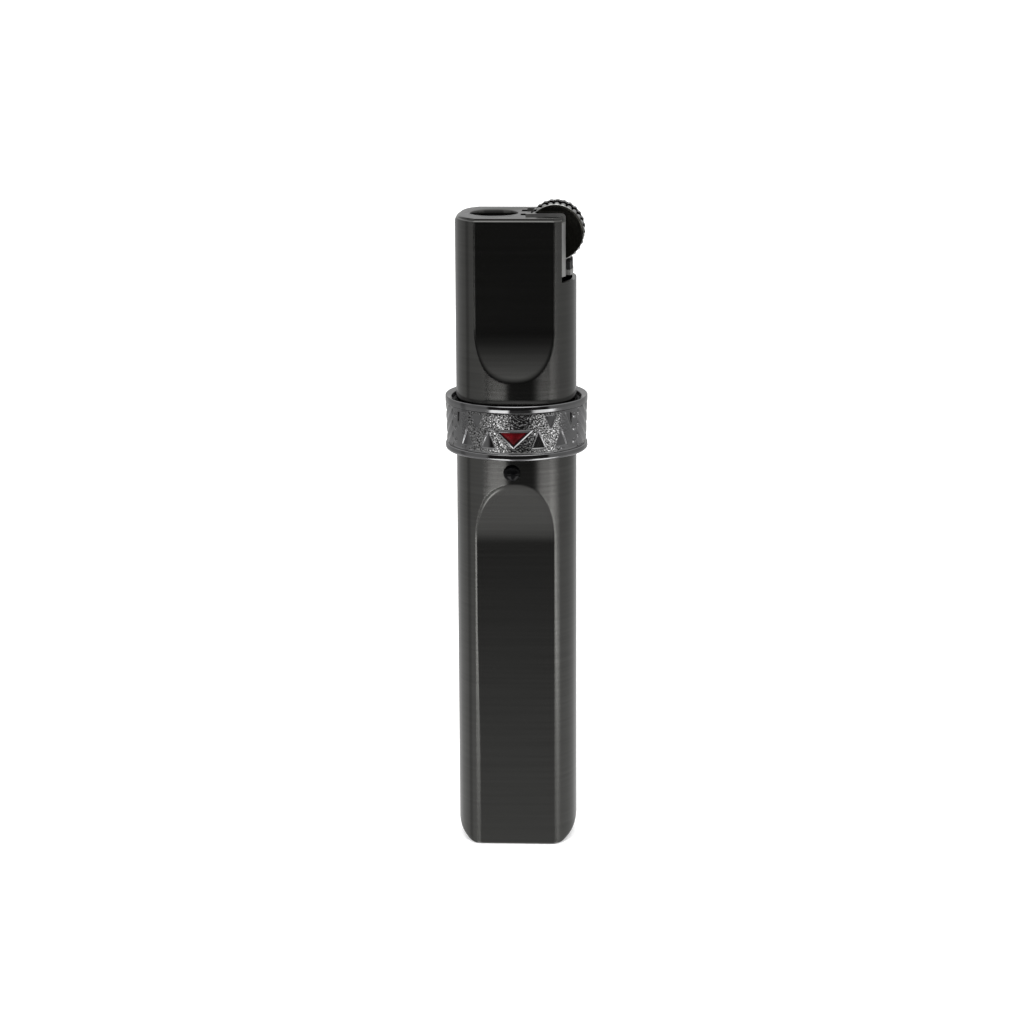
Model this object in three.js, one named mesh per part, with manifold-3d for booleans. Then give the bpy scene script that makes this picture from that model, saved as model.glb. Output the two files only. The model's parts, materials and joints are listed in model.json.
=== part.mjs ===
// A slim jet-flame butane torch with a flint wheel, in millimetres.
// +Z is up and the base stands on z = 0. The front, with its facets and stud, faces -Y.
// The flame comes out of the top at -X, and the flint wheel is at the top at +X.
import * as THREE from "three";
import { mergeVertices } from "three/addons/utils/BufferGeometryUtils.js";
import Module from "manifold-3d";

const FAR = 30; // reach of a cutter that passes right through
const SLIP = 0.05; // clearance of pieces that fit one in another

// Casing: an oval stick, flattened front and back by two long facets
const CASE_WIDTH = 18.3;
const CASE_DEPTH = 17.0;
const CASE_HEIGHT = 97.5;
const OVAL_POWER = 2.35; // 2 would be an ellipse, more is squarer
const OVAL_SIDES = 48;
const WALL = 0.6;
const TOP_PLATE = 0.8;
const TOP_FILLET = 1.2; // rounding of the top's left corner
const EDGE_ROUND = 0.3; // rounding all round the top and the base
const BASE_ROUND_IN = 2.6; // the base's two ends are rounded, its front and back stay flat
const BASE_ROUND_UP = 3.4;
const BASE_FLOOR = 1.2;
const BASE_LEDGE_Z = 3.6; // above it the cavity has its full width
const CASE_SEAM_Z = 66.0; // upper and lower case meet here, under the ring
const CAVITY_HALF_DEPTH = 6.25;

// Facets, front and back: flats that run out on a long arc
const FACET_Y = 6.95;
const UPPER_FACET_TIP_Z = 72.7;
const UPPER_FACET_RAMP = 8.0;
const LOWER_FACET_TIP_Z = 57.1;
const LOWER_FACET_RAMP = 9.0;

// Flint wheel and the notch that bares it
const WHEEL_X = 6.0;
const WHEEL_Z = 94.85;
const WHEEL_RADIUS = 4.42;
const WHEEL_TEETH = 27;
const DISC_INNER_Y = 1.35;
const DISC_OUTER_Y = 2.8;
const STRIKER_RADIUS = 3.4;
const STRIKER_TEETH = 32;
const AXLE_RADIUS = 0.6;
const NOTCH_X = 7.12;
const SLOT_HALF_DEPTH = 3.7;
const SLOT_END_X = 0.85;
const TONGUE_HALF_DEPTH = 1.2;
const TONGUE_END_X = 2.3;

// Frame: the block in the head that holds the wheel, the burner and the rocker
const FRAME_BOTTOM_Z = 61.5;
const FRAME_TOP_Z = 96.6;
const FRAME_HALF_DEPTH = 6.15;
const FRAME_CHANNEL = 3.05; // half depth of the room between its two cheeks
const CHEEK_TOP_Z = 97.8;
const CHEEK_START_X = 1.65;
const CHEEK_END_X = 7.62;
const CHEEK_CORNER = 0.6;
const CHEEK_FOOT_Z = 88.5;
const BURNER_SEAT_Z = [76.5, 80.0];
const BRIDGE_Z = [80.0, 86.5];

// Flint line
const FLINT_X = 5.0;
const FLINT_RADIUS = 1.25;
const FLINT_Z = [86.2, 91.13];
const FLINT_TUBE_RADIUS = 1.75;
const FLINT_TUBE_BORE = 1.35;
const FLINT_TUBE_Z = [3.65, 90.2];
const FLINT_SCREW_Z = [0.7, 7.0];
const FLINT_SPRING_TURNS = 13;

// Gas button: a stamped frame with a ribbed pad, pressed down under the wheel
const BUTTON_TRAVEL = 0.6;
const BUTTON_FOOT_Z = [88.5, 89.3];
const NOTCH_Z = BUTTON_FOOT_Z[0] - BUTTON_TRAVEL - 0.1; // the case is cut away above it
const BUTTON_HALF_DEPTH = 2.95;
const BUTTON_REACH = 8.68;
const LEG_INNER_Y = 2.5;
const LEG_X = [3.3, 6.3];
const LEG_TIP_X = [4.6, 5.4];
const LEG_BOTTOM_Z = 71.0;
const PAD_X = [7.68, 8.6];
const PAD_TOP_Z = 90.45;
const PAD_RIBS = 7;

// Rocker that turns the button's push into the valve's lift
const ROCKER_X = 1.2;
const ROCKER_Z = 70.0;
const ROCKER_PIN_RADIUS = 0.5;

// Gas line, from the tank up to the flame
const GAS_X = -3.25; // axis of the valve, the jet and the burner
const MOUTH_RADIUS = 3.59;
const SCREEN_RADIUS = 3.9;
const SCREEN_BORE = 3.6;
const TANK_RIGHT_X = 3.05;
const TANK_WALL = 0.8;
const PLUG_Z = [3.7, 6.2];
const TANK_TOP_Z = 56.5;
const TANK_ROOF = 3.0;
const REFILL_X = 0.3;
const REFILL_RADIUS = 1.7;

// Ring round the case, its sleeve, and the stud that stops it
const RING_RADIUS = 10.83;
const RING_BORE = 9.85;
const RING_Z = [61.6, 69.9];
const RING_SIDES = 48;
const SLEEVE_Z = [62.0, 69.1];
const BEZEL_HALF_WIDTH = 3.1;
const BEZEL_TOP_Z = 66.35;
const BEZEL_HEIGHT = 2.9;
const BEZEL_RIM = 0.42;
const BEZEL_SEAT_Y = -10.2; // floor of the pocket that holds the bezel and the enamel
const STUD_X = -0.35;
const STUD_Z = 59.3;
const STUD_RADIUS = 1.29;
const STUD_PROUD = 0.7;
const STUD_FLANGE_Y = [-CAVITY_HALF_DEPTH + SLIP, -CAVITY_HALF_DEPTH + 0.35];
const LEAF_Y = [STUD_FLANGE_Y[1] + 0.05, STUD_FLANGE_Y[1] + 0.25];

const wasm = await Module();
wasm.setup();

const MATERIALS = {
  gunmetal: new THREE.MeshStandardMaterial({ color: 0x4b4b48, metalness: 1, roughness: 0.32 }),
  blackChrome: new THREE.MeshStandardMaterial({ color: 0x55565a, metalness: 1, roughness: 0.18 }),
  wheelSteel: new THREE.MeshStandardMaterial({ color: 0x3a3937, metalness: 1, roughness: 0.4 }),
  greySteel: new THREE.MeshStandardMaterial({ color: 0x9a9a98, metalness: 1, roughness: 0.35 }),
  spring: new THREE.MeshStandardMaterial({ color: 0xb4b4b0, metalness: 1, roughness: 0.3 }),
  brass: new THREE.MeshStandardMaterial({ color: 0xc9a24b, metalness: 1, roughness: 0.3 }),
  zinc: new THREE.MeshStandardMaterial({ color: 0x8d8e8f, metalness: 1, roughness: 0.45 }),
  blackPlastic: new THREE.MeshStandardMaterial({ color: 0x131313, roughness: 0.45 }),
  tankPlastic: new THREE.MeshStandardMaterial({ color: 0xd8d4c4, roughness: 0.35 }),
  rubber: new THREE.MeshStandardMaterial({ color: 0x17171a, roughness: 0.8 }),
  silicone: new THREE.MeshStandardMaterial({ color: 0xd9dcd6, roughness: 0.5 }),
  enamel: new THREE.MeshStandardMaterial({ color: 0x8a0f14, roughness: 0.2 }),
  glossBlack: new THREE.MeshStandardMaterial({ color: 0x060606, roughness: 0.08 }),
  flint: new THREE.MeshStandardMaterial({ color: 0x5c5a58, metalness: 0.6, roughness: 0.7 }),
  ceramic: new THREE.MeshStandardMaterial({ color: 0xcfc8b8, roughness: 0.85 }),
};

// ---- Helpers ----

// A closed three.js geometry as a manifold solid, with its faces turned to point out.
function solid(geometry) {
  const bare = geometry.index ? geometry.toNonIndexed() : geometry.clone();
  bare.deleteAttribute("normal");
  bare.deleteAttribute("uv");
  const merged = mergeVertices(bare, 1e-4);
  const triVerts = new Uint32Array(merged.index.array);
  const vertProperties = merged.attributes.position.array;
  const made = new wasm.Manifold(new wasm.Mesh({ numProp: 3, vertProperties, triVerts }));
  if (made.volume() > 0) return made;
  return new wasm.Manifold(
    new wasm.Mesh({ numProp: 3, vertProperties, triVerts: triVerts.reverse() }),
  );
}

// A named mesh from a manifold solid.
function piece(name, made, material) {
  const { vertProperties, triVerts } = made.getMesh();
  const geometry = new THREE.BufferGeometry();
  geometry.setAttribute("position", new THREE.BufferAttribute(vertProperties, 3));
  geometry.setIndex(new THREE.BufferAttribute(triVerts, 1));
  geometry.computeVertexNormals();
  const mesh = new THREE.Mesh(geometry, material);
  mesh.name = name;
  return mesh;
}

// A block between two corners.
function block([x0, x1], [y0, y1], [z0, z1]) {
  const geometry = new THREE.BoxGeometry(x1 - x0, y1 - y0, z1 - z0);
  return solid(geometry.translate((x0 + x1) / 2, (y0 + y1) / 2, (z0 + z1) / 2));
}

// The same block at +Y and at -Y.
function pairOfBlocks(x, [y0, y1], z) {
  return block(x, [y0, y1], z).add(block(x, [-y1, -y0], z));
}

// An upright rod, or a drill for an upright hole.
function rodZ(x, radius, [z0, z1], sides = 16) {
  const geometry = new THREE.CylinderGeometry(radius, radius, z1 - z0, sides);
  return solid(geometry.rotateX(Math.PI / 2).translate(x, 0, (z0 + z1) / 2));
}

// A rod along Y.
function rodY(x, z, radius, [y0, y1], sides = 16) {
  const geometry = new THREE.CylinderGeometry(radius, radius, y1 - y0, sides);
  return solid(geometry.translate(x, (y0 + y1) / 2, z));
}

// A turned piece about the upright axis at x. Its profile is [radius, z] points.
function turned(x, profile, sides = 16) {
  const points = profile.map(([radius, z]) => new THREE.Vector2(radius, z));
  const geometry = new THREE.LatheGeometry(points, sides);
  return solid(geometry.rotateX(Math.PI / 2).translate(x, 0, 0));
}

// A tube about the upright axis at x.
function tube(x, outer, inner, [z0, z1], sides = 16) {
  const profile = [[inner, z0], [outer, z0], [outer, z1], [inner, z1], [inner, z0]];
  return turned(x, profile, sides);
}

// An O-ring about the upright axis at x.
function oRing(x, z, radius, thickness) {
  const geometry = new THREE.TorusGeometry(radius, thickness / 2, 6, 16);
  return solid(geometry.translate(x, 0, z));
}

// The case's oval outline, drawn in by an inset.
function ovalShape(inset) {
  const halfWidth = CASE_WIDTH / 2 - inset;
  const halfDepth = CASE_DEPTH / 2 - inset;
  const rounded = (value) => Math.sign(value) * Math.abs(value) ** (2 / OVAL_POWER);
  const shape = new THREE.Shape();
  for (let i = 0; i < OVAL_SIDES; i += 1) {
    const angle = ((i + 0.5) / OVAL_SIDES) * 2 * Math.PI;
    const x = halfWidth * rounded(Math.cos(angle));
    const y = halfDepth * rounded(Math.sin(angle));
    if (i === 0) shape.moveTo(x, y);
    else shape.lineTo(x, y);
  }
  shape.closePath();
  return shape;
}

// An upright prism with the oval outline.
function ovalPrism(inset, [z0, z1]) {
  const options = { depth: z1 - z0, bevelEnabled: false };
  return solid(new THREE.ExtrudeGeometry(ovalShape(inset), options).translate(0, 0, z0));
}

// The oval prism, cut flat front and back.
function flatOval(inset, halfDepth, z) {
  return ovalPrism(inset, z).intersect(block([-FAR, FAR], [-halfDepth, halfDepth], z));
}

// An oval prism with both of its ends rounded over.
function roundedOval([z0, z1], roundIn, roundUp) {
  const options = {
    depth: z1 - z0 - 2 * roundUp,
    bevelThickness: roundUp,
    bevelSize: roundIn,
    bevelOffset: -roundIn,
    bevelSegments: 3,
  };
  const geometry = new THREE.ExtrudeGeometry(ovalShape(0), options);
  return solid(geometry.translate(0, 0, z0 + roundUp));
}

// Teeth round a circle, as a flat outline with a hole in its middle.
function toothedShape(tip, root, teeth, bore) {
  const shape = new THREE.Shape();
  for (let i = 0; i < 2 * teeth; i += 1) {
    const radius = i % 2 ? root : tip;
    const angle = (i / teeth) * Math.PI;
    const x = radius * Math.cos(angle);
    const y = radius * Math.sin(angle);
    if (i === 0) shape.moveTo(x, y);
    else shape.lineTo(x, y);
  }
  shape.closePath();
  shape.holes.push(new THREE.Path().absarc(0, 0, bore, 0, 2 * Math.PI, true));
  return shape;
}

// A wheel on the flint wheel's axis, from a flat outline.
function onAxle(shape, [y0, y1], bevel) {
  const options = {
    depth: y1 - y0 - 2 * bevel,
    bevelEnabled: bevel > 0,
    bevelThickness: bevel,
    bevelSize: bevel,
    bevelOffset: -bevel,
    bevelSegments: 1,
    curveSegments: 8,
  };
  const geometry = new THREE.ExtrudeGeometry(shape, options).rotateX(Math.PI / 2);
  return solid(geometry.translate(WHEEL_X, y1 - bevel, WHEEL_Z));
}

// The centre line of an upright coil spring.
class Helix extends THREE.Curve {
  constructor(x, radius, [z0, z1], turns) {
    super();
    Object.assign(this, { x, radius, z0, z1, turns });
  }

  getPoint(t, target = new THREE.Vector3()) {
    const angle = t * this.turns * 2 * Math.PI;
    const x = this.x + this.radius * Math.cos(angle);
    const y = this.radius * Math.sin(angle);
    return target.set(x, y, this.z0 + t * (this.z1 - this.z0));
  }
}

// A coil spring between two heights; the wire's own radius is kept inside them.
function coilSpring(x, radius, wireRadius, [z0, z1], turns) {
  const path = new Helix(x, radius, [z0 + 1.5 * wireRadius, z1 - 1.5 * wireRadius], turns);
  const section = new THREE.Shape().absarc(0, 0, wireRadius, 0, 2 * Math.PI);
  const options = { extrudePath: path, steps: 8 * turns, curveSegments: 3, bevelEnabled: false };
  return solid(new THREE.ExtrudeGeometry(section, options));
}

// ---- Casing ----

// One facet's cutter: a flat in front of FACET_Y that rises out of the case on an arc.
// It runs from the arc's tip to far beyond the open end.
function facetCutter(tipZ, ramp, openZ, side) {
  const towards = Math.sign(openZ - tipZ);
  const crest = CASE_DEPTH / 2 - FACET_Y;
  const radius = (ramp ** 2 + crest ** 2) / (2 * crest);
  const steps = 8;
  const outline = [];
  for (let i = 0; i <= steps; i += 1) {
    const rest = ramp * (1.25 - (1.25 * i) / steps);
    const rise = radius - Math.sqrt(radius ** 2 - rest ** 2);
    outline.push([FACET_Y + rise, tipZ + towards * (ramp - rest)]);
  }
  outline.push([FACET_Y, openZ], [FAR, openZ], [FAR, outline[0][1]]);
  const shape = new THREE.Shape(outline.map(([y, z]) => new THREE.Vector2(z, side * y)));
  const geometry = new THREE.ExtrudeGeometry(shape, { depth: 2 * FAR, bevelEnabled: false });
  return solid(geometry.rotateY(-Math.PI / 2).translate(FAR, 0, 0));
}

// A rounded lower corner: points of a quarter ellipse from the flat end up to the side.
function cornerPoints(roundIn, roundUp, steps = 6) {
  const points = [];
  for (let i = 0; i <= steps; i += 1) {
    const angle = (i / steps) * (Math.PI / 2);
    points.push([CASE_WIDTH / 2 - roundIn * (1 - Math.sin(angle)), roundUp * (1 - Math.cos(angle))]);
  }
  return points;
}

// The stick's front outline, extruded through its depth: rounded corners at the base and the top.
function frontOutline() {
  const base = cornerPoints(BASE_ROUND_IN, BASE_ROUND_UP);
  const top = cornerPoints(TOP_FILLET, TOP_FILLET).map(([x, z]) => [x, CASE_HEIGHT - z]);
  const right = [...base, ...top.reverse()];
  const left = right.map(([x, z]) => [-x, z]).reverse();
  const shape = new THREE.Shape([...right, ...left].map(([x, z]) => new THREE.Vector2(x, z)));
  const geometry = new THREE.ExtrudeGeometry(shape, { depth: 2 * FAR, bevelEnabled: false });
  return solid(geometry.rotateX(Math.PI / 2).translate(0, FAR, 0));
}

// The whole stick's outside: rounded ends and four facets.
function caseEnvelope() {
  let made = roundedOval([0, CASE_HEIGHT], EDGE_ROUND, EDGE_ROUND).intersect(frontOutline());
  for (const side of [-1, 1]) {
    made = made.subtract(facetCutter(UPPER_FACET_TIP_Z, UPPER_FACET_RAMP, CASE_HEIGHT + FAR, side));
    made = made.subtract(facetCutter(LOWER_FACET_TIP_Z, LOWER_FACET_RAMP, -FAR, side));
  }
  return made;
}

// The room inside the case between two heights.
function cavity(z) {
  return flatOval(WALL, CAVITY_HALF_DEPTH, z);
}

// The window in the top plate for the wheel, with a tongue between its two discs.
function wheelSlot() {
  const z = [CASE_HEIGHT - 2 * TOP_PLATE, CASE_HEIGHT + FAR];
  const fingers = pairOfBlocks([SLOT_END_X, FAR], [TONGUE_HALF_DEPTH, 3.05], z);
  const cheekRoom = pairOfBlocks([CHEEK_START_X - SLIP, FAR], [2, SLOT_HALF_DEPTH], z);
  const middle = block([TONGUE_END_X, FAR], [-2, 2], z);
  return fingers.add(cheekRoom).add(middle);
}

function upperCase(envelope) {
  const above = block([-FAR, FAR], [-FAR, FAR], [CASE_SEAM_Z, CASE_HEIGHT + FAR]);
  const notch = block([NOTCH_X, FAR], [-FAR, FAR], [NOTCH_Z, CASE_HEIGHT + FAR]);
  return envelope
    .intersect(above)
    .subtract(cavity([CASE_SEAM_Z - 1, CASE_HEIGHT - TOP_PLATE]))
    .subtract(rodZ(GAS_X, MOUTH_RADIUS, [CASE_HEIGHT - 5, CASE_HEIGHT + FAR], 40))
    .subtract(wheelSlot())
    .subtract(notch);
}

function lowerCase(envelope) {
  const below = block([-FAR, FAR], [-FAR, FAR], [-FAR, CASE_SEAM_Z]);
  const floorHole = (x, radius) => rodZ(x, radius, [-1, BASE_LEDGE_Z + 1]);
  return envelope
    .intersect(below)
    .subtract(cavity([BASE_LEDGE_Z, CASE_SEAM_Z + 1]))
    .subtract(flatOval(WALL + 1.8, CAVITY_HALF_DEPTH - 1, [BASE_FLOOR, BASE_LEDGE_Z + 1]))
    .subtract(floorHole(GAS_X, 1.4))
    .subtract(floorHole(REFILL_X, REFILL_RADIUS + 0.1))
    .subtract(floorHole(FLINT_X, 1.5))
    .subtract(rodY(STUD_X, STUD_Z, STUD_RADIUS, [-FAR, 0]));
}

// ---- Frame in the head ----

// The two cheeks' tops, which stand a little proud of the top plate beside the wheel.
function cheekTops() {
  const half = SLOT_HALF_DEPTH - SLIP;
  const z = [FRAME_TOP_Z - 1, CHEEK_TOP_Z];
  const blocks = pairOfBlocks([CHEEK_START_X, FAR], [FRAME_CHANNEL, half], z);
  const all = [-FAR, FAR];
  const cornerX = CHEEK_END_X - CHEEK_CORNER;
  const cornerZ = CHEEK_TOP_Z - CHEEK_CORNER;
  const roundCornered = block([0, cornerX], all, z)
    .add(block([0, CHEEK_END_X], all, [z[0], cornerZ]))
    .add(rodY(cornerX, cornerZ, CHEEK_CORNER, all));
  return blocks.intersect(ovalPrism(WALL + SLIP, z)).intersect(roundCornered);
}

function wheelFrame() {
  const all = [-FAR, FAR];
  const channel = [-FRAME_CHANNEL, FRAME_CHANNEL];
  const rockerRoom = block(all, channel, [FRAME_BOTTOM_Z - 1, BURNER_SEAT_Z[0]]);
  const wheelRoom = block([1.4, FAR], channel, [BURNER_SEAT_Z[0] - 1, FAR * 4]);
  const bridge = block([1.2, 7.3], [-2.4, 2.4], BRIDGE_Z);
  const sparkWindow = block([0, 2], [-1.4, 1.4], [90.0, 95.0]);
  const notchRelief = block([6.6, FAR], all, [FRAME_BOTTOM_Z - 1, CHEEK_FOOT_Z]);
  const cheekEnds = block([CHEEK_END_X, FAR], all, [CHEEK_FOOT_Z - 1, FRAME_TOP_Z + 1]);
  const leafGroove = block([STUD_X - 1.35, STUD_X + 1.35], [-FAR, LEAF_Y[1] + SLIP], [FRAME_BOTTOM_Z - 1, 67]);
  return flatOval(WALL + SLIP, FRAME_HALF_DEPTH, [FRAME_BOTTOM_Z, FRAME_TOP_Z])
    .subtract(notchRelief)
    .subtract(cheekEnds)
    .add(cheekTops())
    .subtract(rockerRoom)
    .subtract(wheelRoom)
    .add(bridge)
    .subtract(rodZ(GAS_X, SCREEN_RADIUS + 0.15, [BURNER_SEAT_Z[1], FAR * 4], 40))
    .subtract(rodZ(GAS_X, 2.1, [BURNER_SEAT_Z[0] - 1, BURNER_SEAT_Z[1] + 1]))
    .subtract(rodZ(FLINT_X, FLINT_TUBE_RADIUS + SLIP, [BRIDGE_Z[0] - 1, BRIDGE_Z[1] + 1]))
    .subtract(sparkWindow)
    .subtract(leafGroove)
    .subtract(rodY(WHEEL_X, WHEEL_Z, AXLE_RADIUS + SLIP, all))
    .subtract(rodY(ROCKER_X, ROCKER_Z, ROCKER_PIN_RADIUS + SLIP, all));
}

// ---- Flint wheel and flint line ----

// A knurled disc; side is -1 for the front one.
function wheelDisc(side) {
  const shape = toothedShape(WHEEL_RADIUS, WHEEL_RADIUS - 0.28, WHEEL_TEETH, AXLE_RADIUS + SLIP);
  const y = side < 0 ? [-DISC_OUTER_Y, -DISC_INNER_Y] : [DISC_INNER_Y, DISC_OUTER_Y];
  return onAxle(shape, y, 0.25);
}

function strikerWheel() {
  const half = DISC_INNER_Y - SLIP;
  const shape = toothedShape(STRIKER_RADIUS, STRIKER_RADIUS - 0.2, STRIKER_TEETH, AXLE_RADIUS + SLIP);
  return onAxle(shape, [-half, half], 0);
}

// A slotted screw that closes the flint tube from below.
function flintScrew() {
  const [bottom, top] = FLINT_SCREW_Z;
  const profile = [[0, bottom], [1.25, bottom], [1.25, bottom + 1.5], [1.3, bottom + 1.5]];
  const made = turned(FLINT_X, [...profile, [1.3, top - 0.4], [0.9, top], [0, top]]);
  return made.subtract(block([FLINT_X - 2, FLINT_X + 2], [-0.2, 0.2], [bottom - 1, bottom + 0.6]));
}

// ---- Gas button and rocker ----

function buttonFrame() {
  const foot = ovalPrism(CASE_WIDTH / 2 - BUTTON_REACH, BUTTON_FOOT_Z).intersect(
    block([2.6, FAR], [-BUTTON_HALF_DEPTH, BUTTON_HALF_DEPTH], BUTTON_FOOT_Z),
  );
  const shankZ = [LEG_BOTTOM_Z + 0.6, BUTTON_FOOT_Z[0] + 0.4];
  const legs = pairOfBlocks(LEG_X, [LEG_INNER_Y, BUTTON_HALF_DEPTH], shankZ);
  const tipZ = [LEG_BOTTOM_Z, LEG_BOTTOM_Z + 1];
  const tips = pairOfBlocks(LEG_TIP_X, [LEG_INNER_Y, BUTTON_HALF_DEPTH], tipZ);
  const flintHole = rodZ(FLINT_X, FLINT_TUBE_RADIUS + 0.1, [80, 95]);
  return foot.add(legs).add(tips).subtract(flintHole);
}

// The thumb pad: a block on the button's foot with ribs across its top and outer side.
function buttonPad() {
  const z = [BUTTON_FOOT_Z[1], PAD_TOP_Z];
  const outline = ovalPrism(CASE_WIDTH / 2 - PAD_X[1], [z[0], z[1] + 0.2]);
  const half = BUTTON_HALF_DEPTH - SLIP;
  let made = block([PAD_X[0], PAD_X[1] - 0.15], [-half, half], z);
  const pitch = (2 * half) / PAD_RIBS;
  for (let i = 0; i < PAD_RIBS; i += 1) {
    const y0 = -half + pitch * (i + 0.25);
    made = made.add(block(PAD_X, [y0, y0 + pitch / 2], [z[0], z[1] + 0.2]));
  }
  return made.intersect(outline);
}

function rocker() {
  const arms = pairOfBlocks([-1.6, 5.7], [LEG_INNER_Y, BUTTON_HALF_DEPTH], [69.3, LEG_BOTTOM_Z - 0.1]);
  const plateZ = [69.6, 70.4];
  const plate = block([-1.6, -0.4], [-BUTTON_HALF_DEPTH, BUTTON_HALF_DEPTH], plateZ);
  const prongs = pairOfBlocks([GAS_X - 0.45, -0.4], [1.1, 2.0], plateZ);
  return arms
    .add(plate)
    .add(prongs)
    .subtract(rodY(ROCKER_X, ROCKER_Z, ROCKER_PIN_RADIUS + SLIP, [-FAR, FAR]));
}

// ---- Gas line ----

function tank() {
  const shape = (inset, z) => {
    const wide = flatOval(WALL + SLIP + inset, FRAME_HALF_DEPTH - inset, z);
    return wide.intersect(block([-FAR, TANK_RIGHT_X - inset], [-FAR, FAR], z));
  };
  return shape(0, [PLUG_Z[1], TANK_TOP_Z])
    .subtract(shape(TANK_WALL, [PLUG_Z[1] - 1, TANK_TOP_Z - TANK_ROOF]))
    .subtract(rodZ(GAS_X, 2.3, [TANK_TOP_Z - TANK_ROOF - 1, TANK_TOP_Z + 1]));
}

// The tank's bottom, which holds the refill valve and the flame adjuster.
function tankPlug() {
  const flange = flatOval(WALL + SLIP, FRAME_HALF_DEPTH, PLUG_Z);
  const spigotInset = TANK_WALL + SLIP;
  const spigotZ = [PLUG_Z[0], PLUG_Z[1] + 3];
  const spigot = flatOval(WALL + SLIP + spigotInset, FRAME_HALF_DEPTH - spigotInset, spigotZ);
  return flange
    .add(spigot)
    .intersect(block([-FAR, TANK_RIGHT_X - spigotInset], [-FAR, FAR], [0, 20]))
    .subtract(rodZ(REFILL_X, REFILL_RADIUS + SLIP, [0, 20]))
    .subtract(rodZ(GAS_X, 1.25, [0, 20]));
}

// The valve's brass body: a filter chamber below, a small seat hole, a stem chamber above.
function valveBody() {
  const profile = [
    [1.6, 48], [2.25, 48], [2.25, 57.2], [2.8, 57.2], [2.8, 58.6], [2.2, 58.6], [2.2, 66.2],
    [1.75, 66.2], [1.75, 57.9], [0.4, 57.9], [0.4, 52], [1.6, 52], [1.6, 48],
  ];
  return turned(GAS_X, profile);
}

// The nut that keeps the stem in the valve's body.
function valveCap() {
  return rodZ(GAS_X, 2.4, [66.25, 67.4], 6).subtract(rodZ(GAS_X, 0.98, [66, 68]));
}

// The stem that the rocker lifts by its collar. Gas leaves through its hollow top.
function valveStem() {
  const profile = [
    [0, 58.25], [1.5, 58.25], [1.5, 59.0], [0.88, 59.0], [0.88, 70.5], [1.8, 70.5], [1.8, 71.3],
    [0.88, 71.3], [0.88, 74.0], [0.4, 74.0], [0.4, 60.5], [0, 60.5],
  ];
  return turned(GAS_X, profile);
}

function jetNozzle() {
  const profile = [
    [0.35, 75.2], [0.88, 75.2], [0.88, 77.4], [2.0, 77.4], [2.0, 80.05], [2.6, 80.05], [2.6, 80.7],
    [1.0, 80.7], [0.7, 82.2], [0.12, 82.2], [0.12, 81.8], [0.35, 81.5], [0.35, 75.2],
  ];
  return turned(GAS_X, profile);
}

// The tube where gas and air mix, with air holes at its foot.
function mixingTube() {
  const profile = [
    [1.6, 80.75], [2.4, 80.75], [2.4, 87.6], [3.3, 88.6], [3.3, 90.2], [2.7, 90.2], [2.7, 89.2],
    [1.6, 88.0], [1.6, 80.75],
  ];
  const airHole = rodY(GAS_X, 83.6, 0.6, [-5, 5], 12);
  return turned(GAS_X, profile).subtract(airHole);
}

// The pierced disc that holds the flame.
function flameDisc() {
  let made = rodZ(GAS_X, 2.6, [89.25, 90.0], 24);
  const holes = 6;
  for (let i = 0; i < holes; i += 1) {
    const hole = new THREE.CylinderGeometry(0.45, 0.45, 4, 10).rotateX(Math.PI / 2);
    const angle = (i / holes) * 2 * Math.PI;
    hole.translate(GAS_X + 1.6 * Math.cos(angle), 1.6 * Math.sin(angle), 90);
    made = made.subtract(solid(hole));
  }
  return made.subtract(rodZ(GAS_X, 0.6, [88, 92], 12));
}

function windscreen() {
  const sparkWindow = block([GAS_X + 1, GAS_X + 6], [-1.3, 1.3], [90.0, 95.0]);
  return tube(GAS_X, SCREEN_RADIUS, SCREEN_BORE, [BURNER_SEAT_Z[1] + SLIP, 96.6], 40).subtract(sparkWindow);
}

function refillBody() {
  const profile = [
    [0.95, 0.9], [REFILL_RADIUS, 0.9], [REFILL_RADIUS, 11.5], [0.5, 11.5], [0.5, 10.9], [1.35, 10.9],
    [1.35, 2.6], [0.95, 2.6], [0.95, 0.9],
  ];
  return turned(REFILL_X, profile);
}

// The refill valve's stem, pushed up by a gas can's nozzle.
function refillStem() {
  const profile = [
    [0.3, 1.3], [0.75, 1.3], [0.75, 3.25], [1.2, 3.25], [1.2, 4.0], [0.6, 4.0], [0.6, 6.5],
    [0, 6.5], [0, 3.6], [0.3, 3.4], [0.3, 1.3],
  ];
  return turned(REFILL_X, profile);
}

// The flame adjuster: a slotted head in the base and a rod up to the valve's filter.
function flameAdjuster() {
  const profile = [
    [0, 0.6], [1.3, 0.6], [1.3, 3.2], [1.15, 3.2], [1.15, 7.6], [0.85, 7.6], [0.85, 8.3],
    [1.15, 8.3], [1.15, 9.4], [0.6, 9.9], [0.6, 49.4], [1.4, 49.4], [1.4, 50.3], [0, 50.3],
  ];
  const slot = block([GAS_X - 2, GAS_X + 2], [-0.2, 0.2], [-1, 1.3]);
  return turned(GAS_X, profile).subtract(slot);
}

// ---- Ring, sleeve and stud ----

// A triangle standing on its point at the ring's front, drawn in by an inset.
function frontTriangle(inset, [y0, y1]) {
  const side = Math.hypot(BEZEL_HALF_WIDTH, BEZEL_HEIGHT);
  const tipInset = (inset * side) / BEZEL_HALF_WIDTH;
  const half = ((BEZEL_HEIGHT - inset - tipInset) * BEZEL_HALF_WIDTH) / BEZEL_HEIGHT;
  const shape = new THREE.Shape();
  shape.moveTo(-half, BEZEL_TOP_Z - inset);
  shape.lineTo(0, BEZEL_TOP_Z - BEZEL_HEIGHT + tipInset);
  shape.lineTo(half, BEZEL_TOP_Z - inset);
  shape.closePath();
  const geometry = new THREE.ExtrudeGeometry(shape, { depth: y1 - y0, bevelEnabled: false });
  return solid(geometry.rotateX(Math.PI / 2).translate(0, y1, 0));
}

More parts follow.
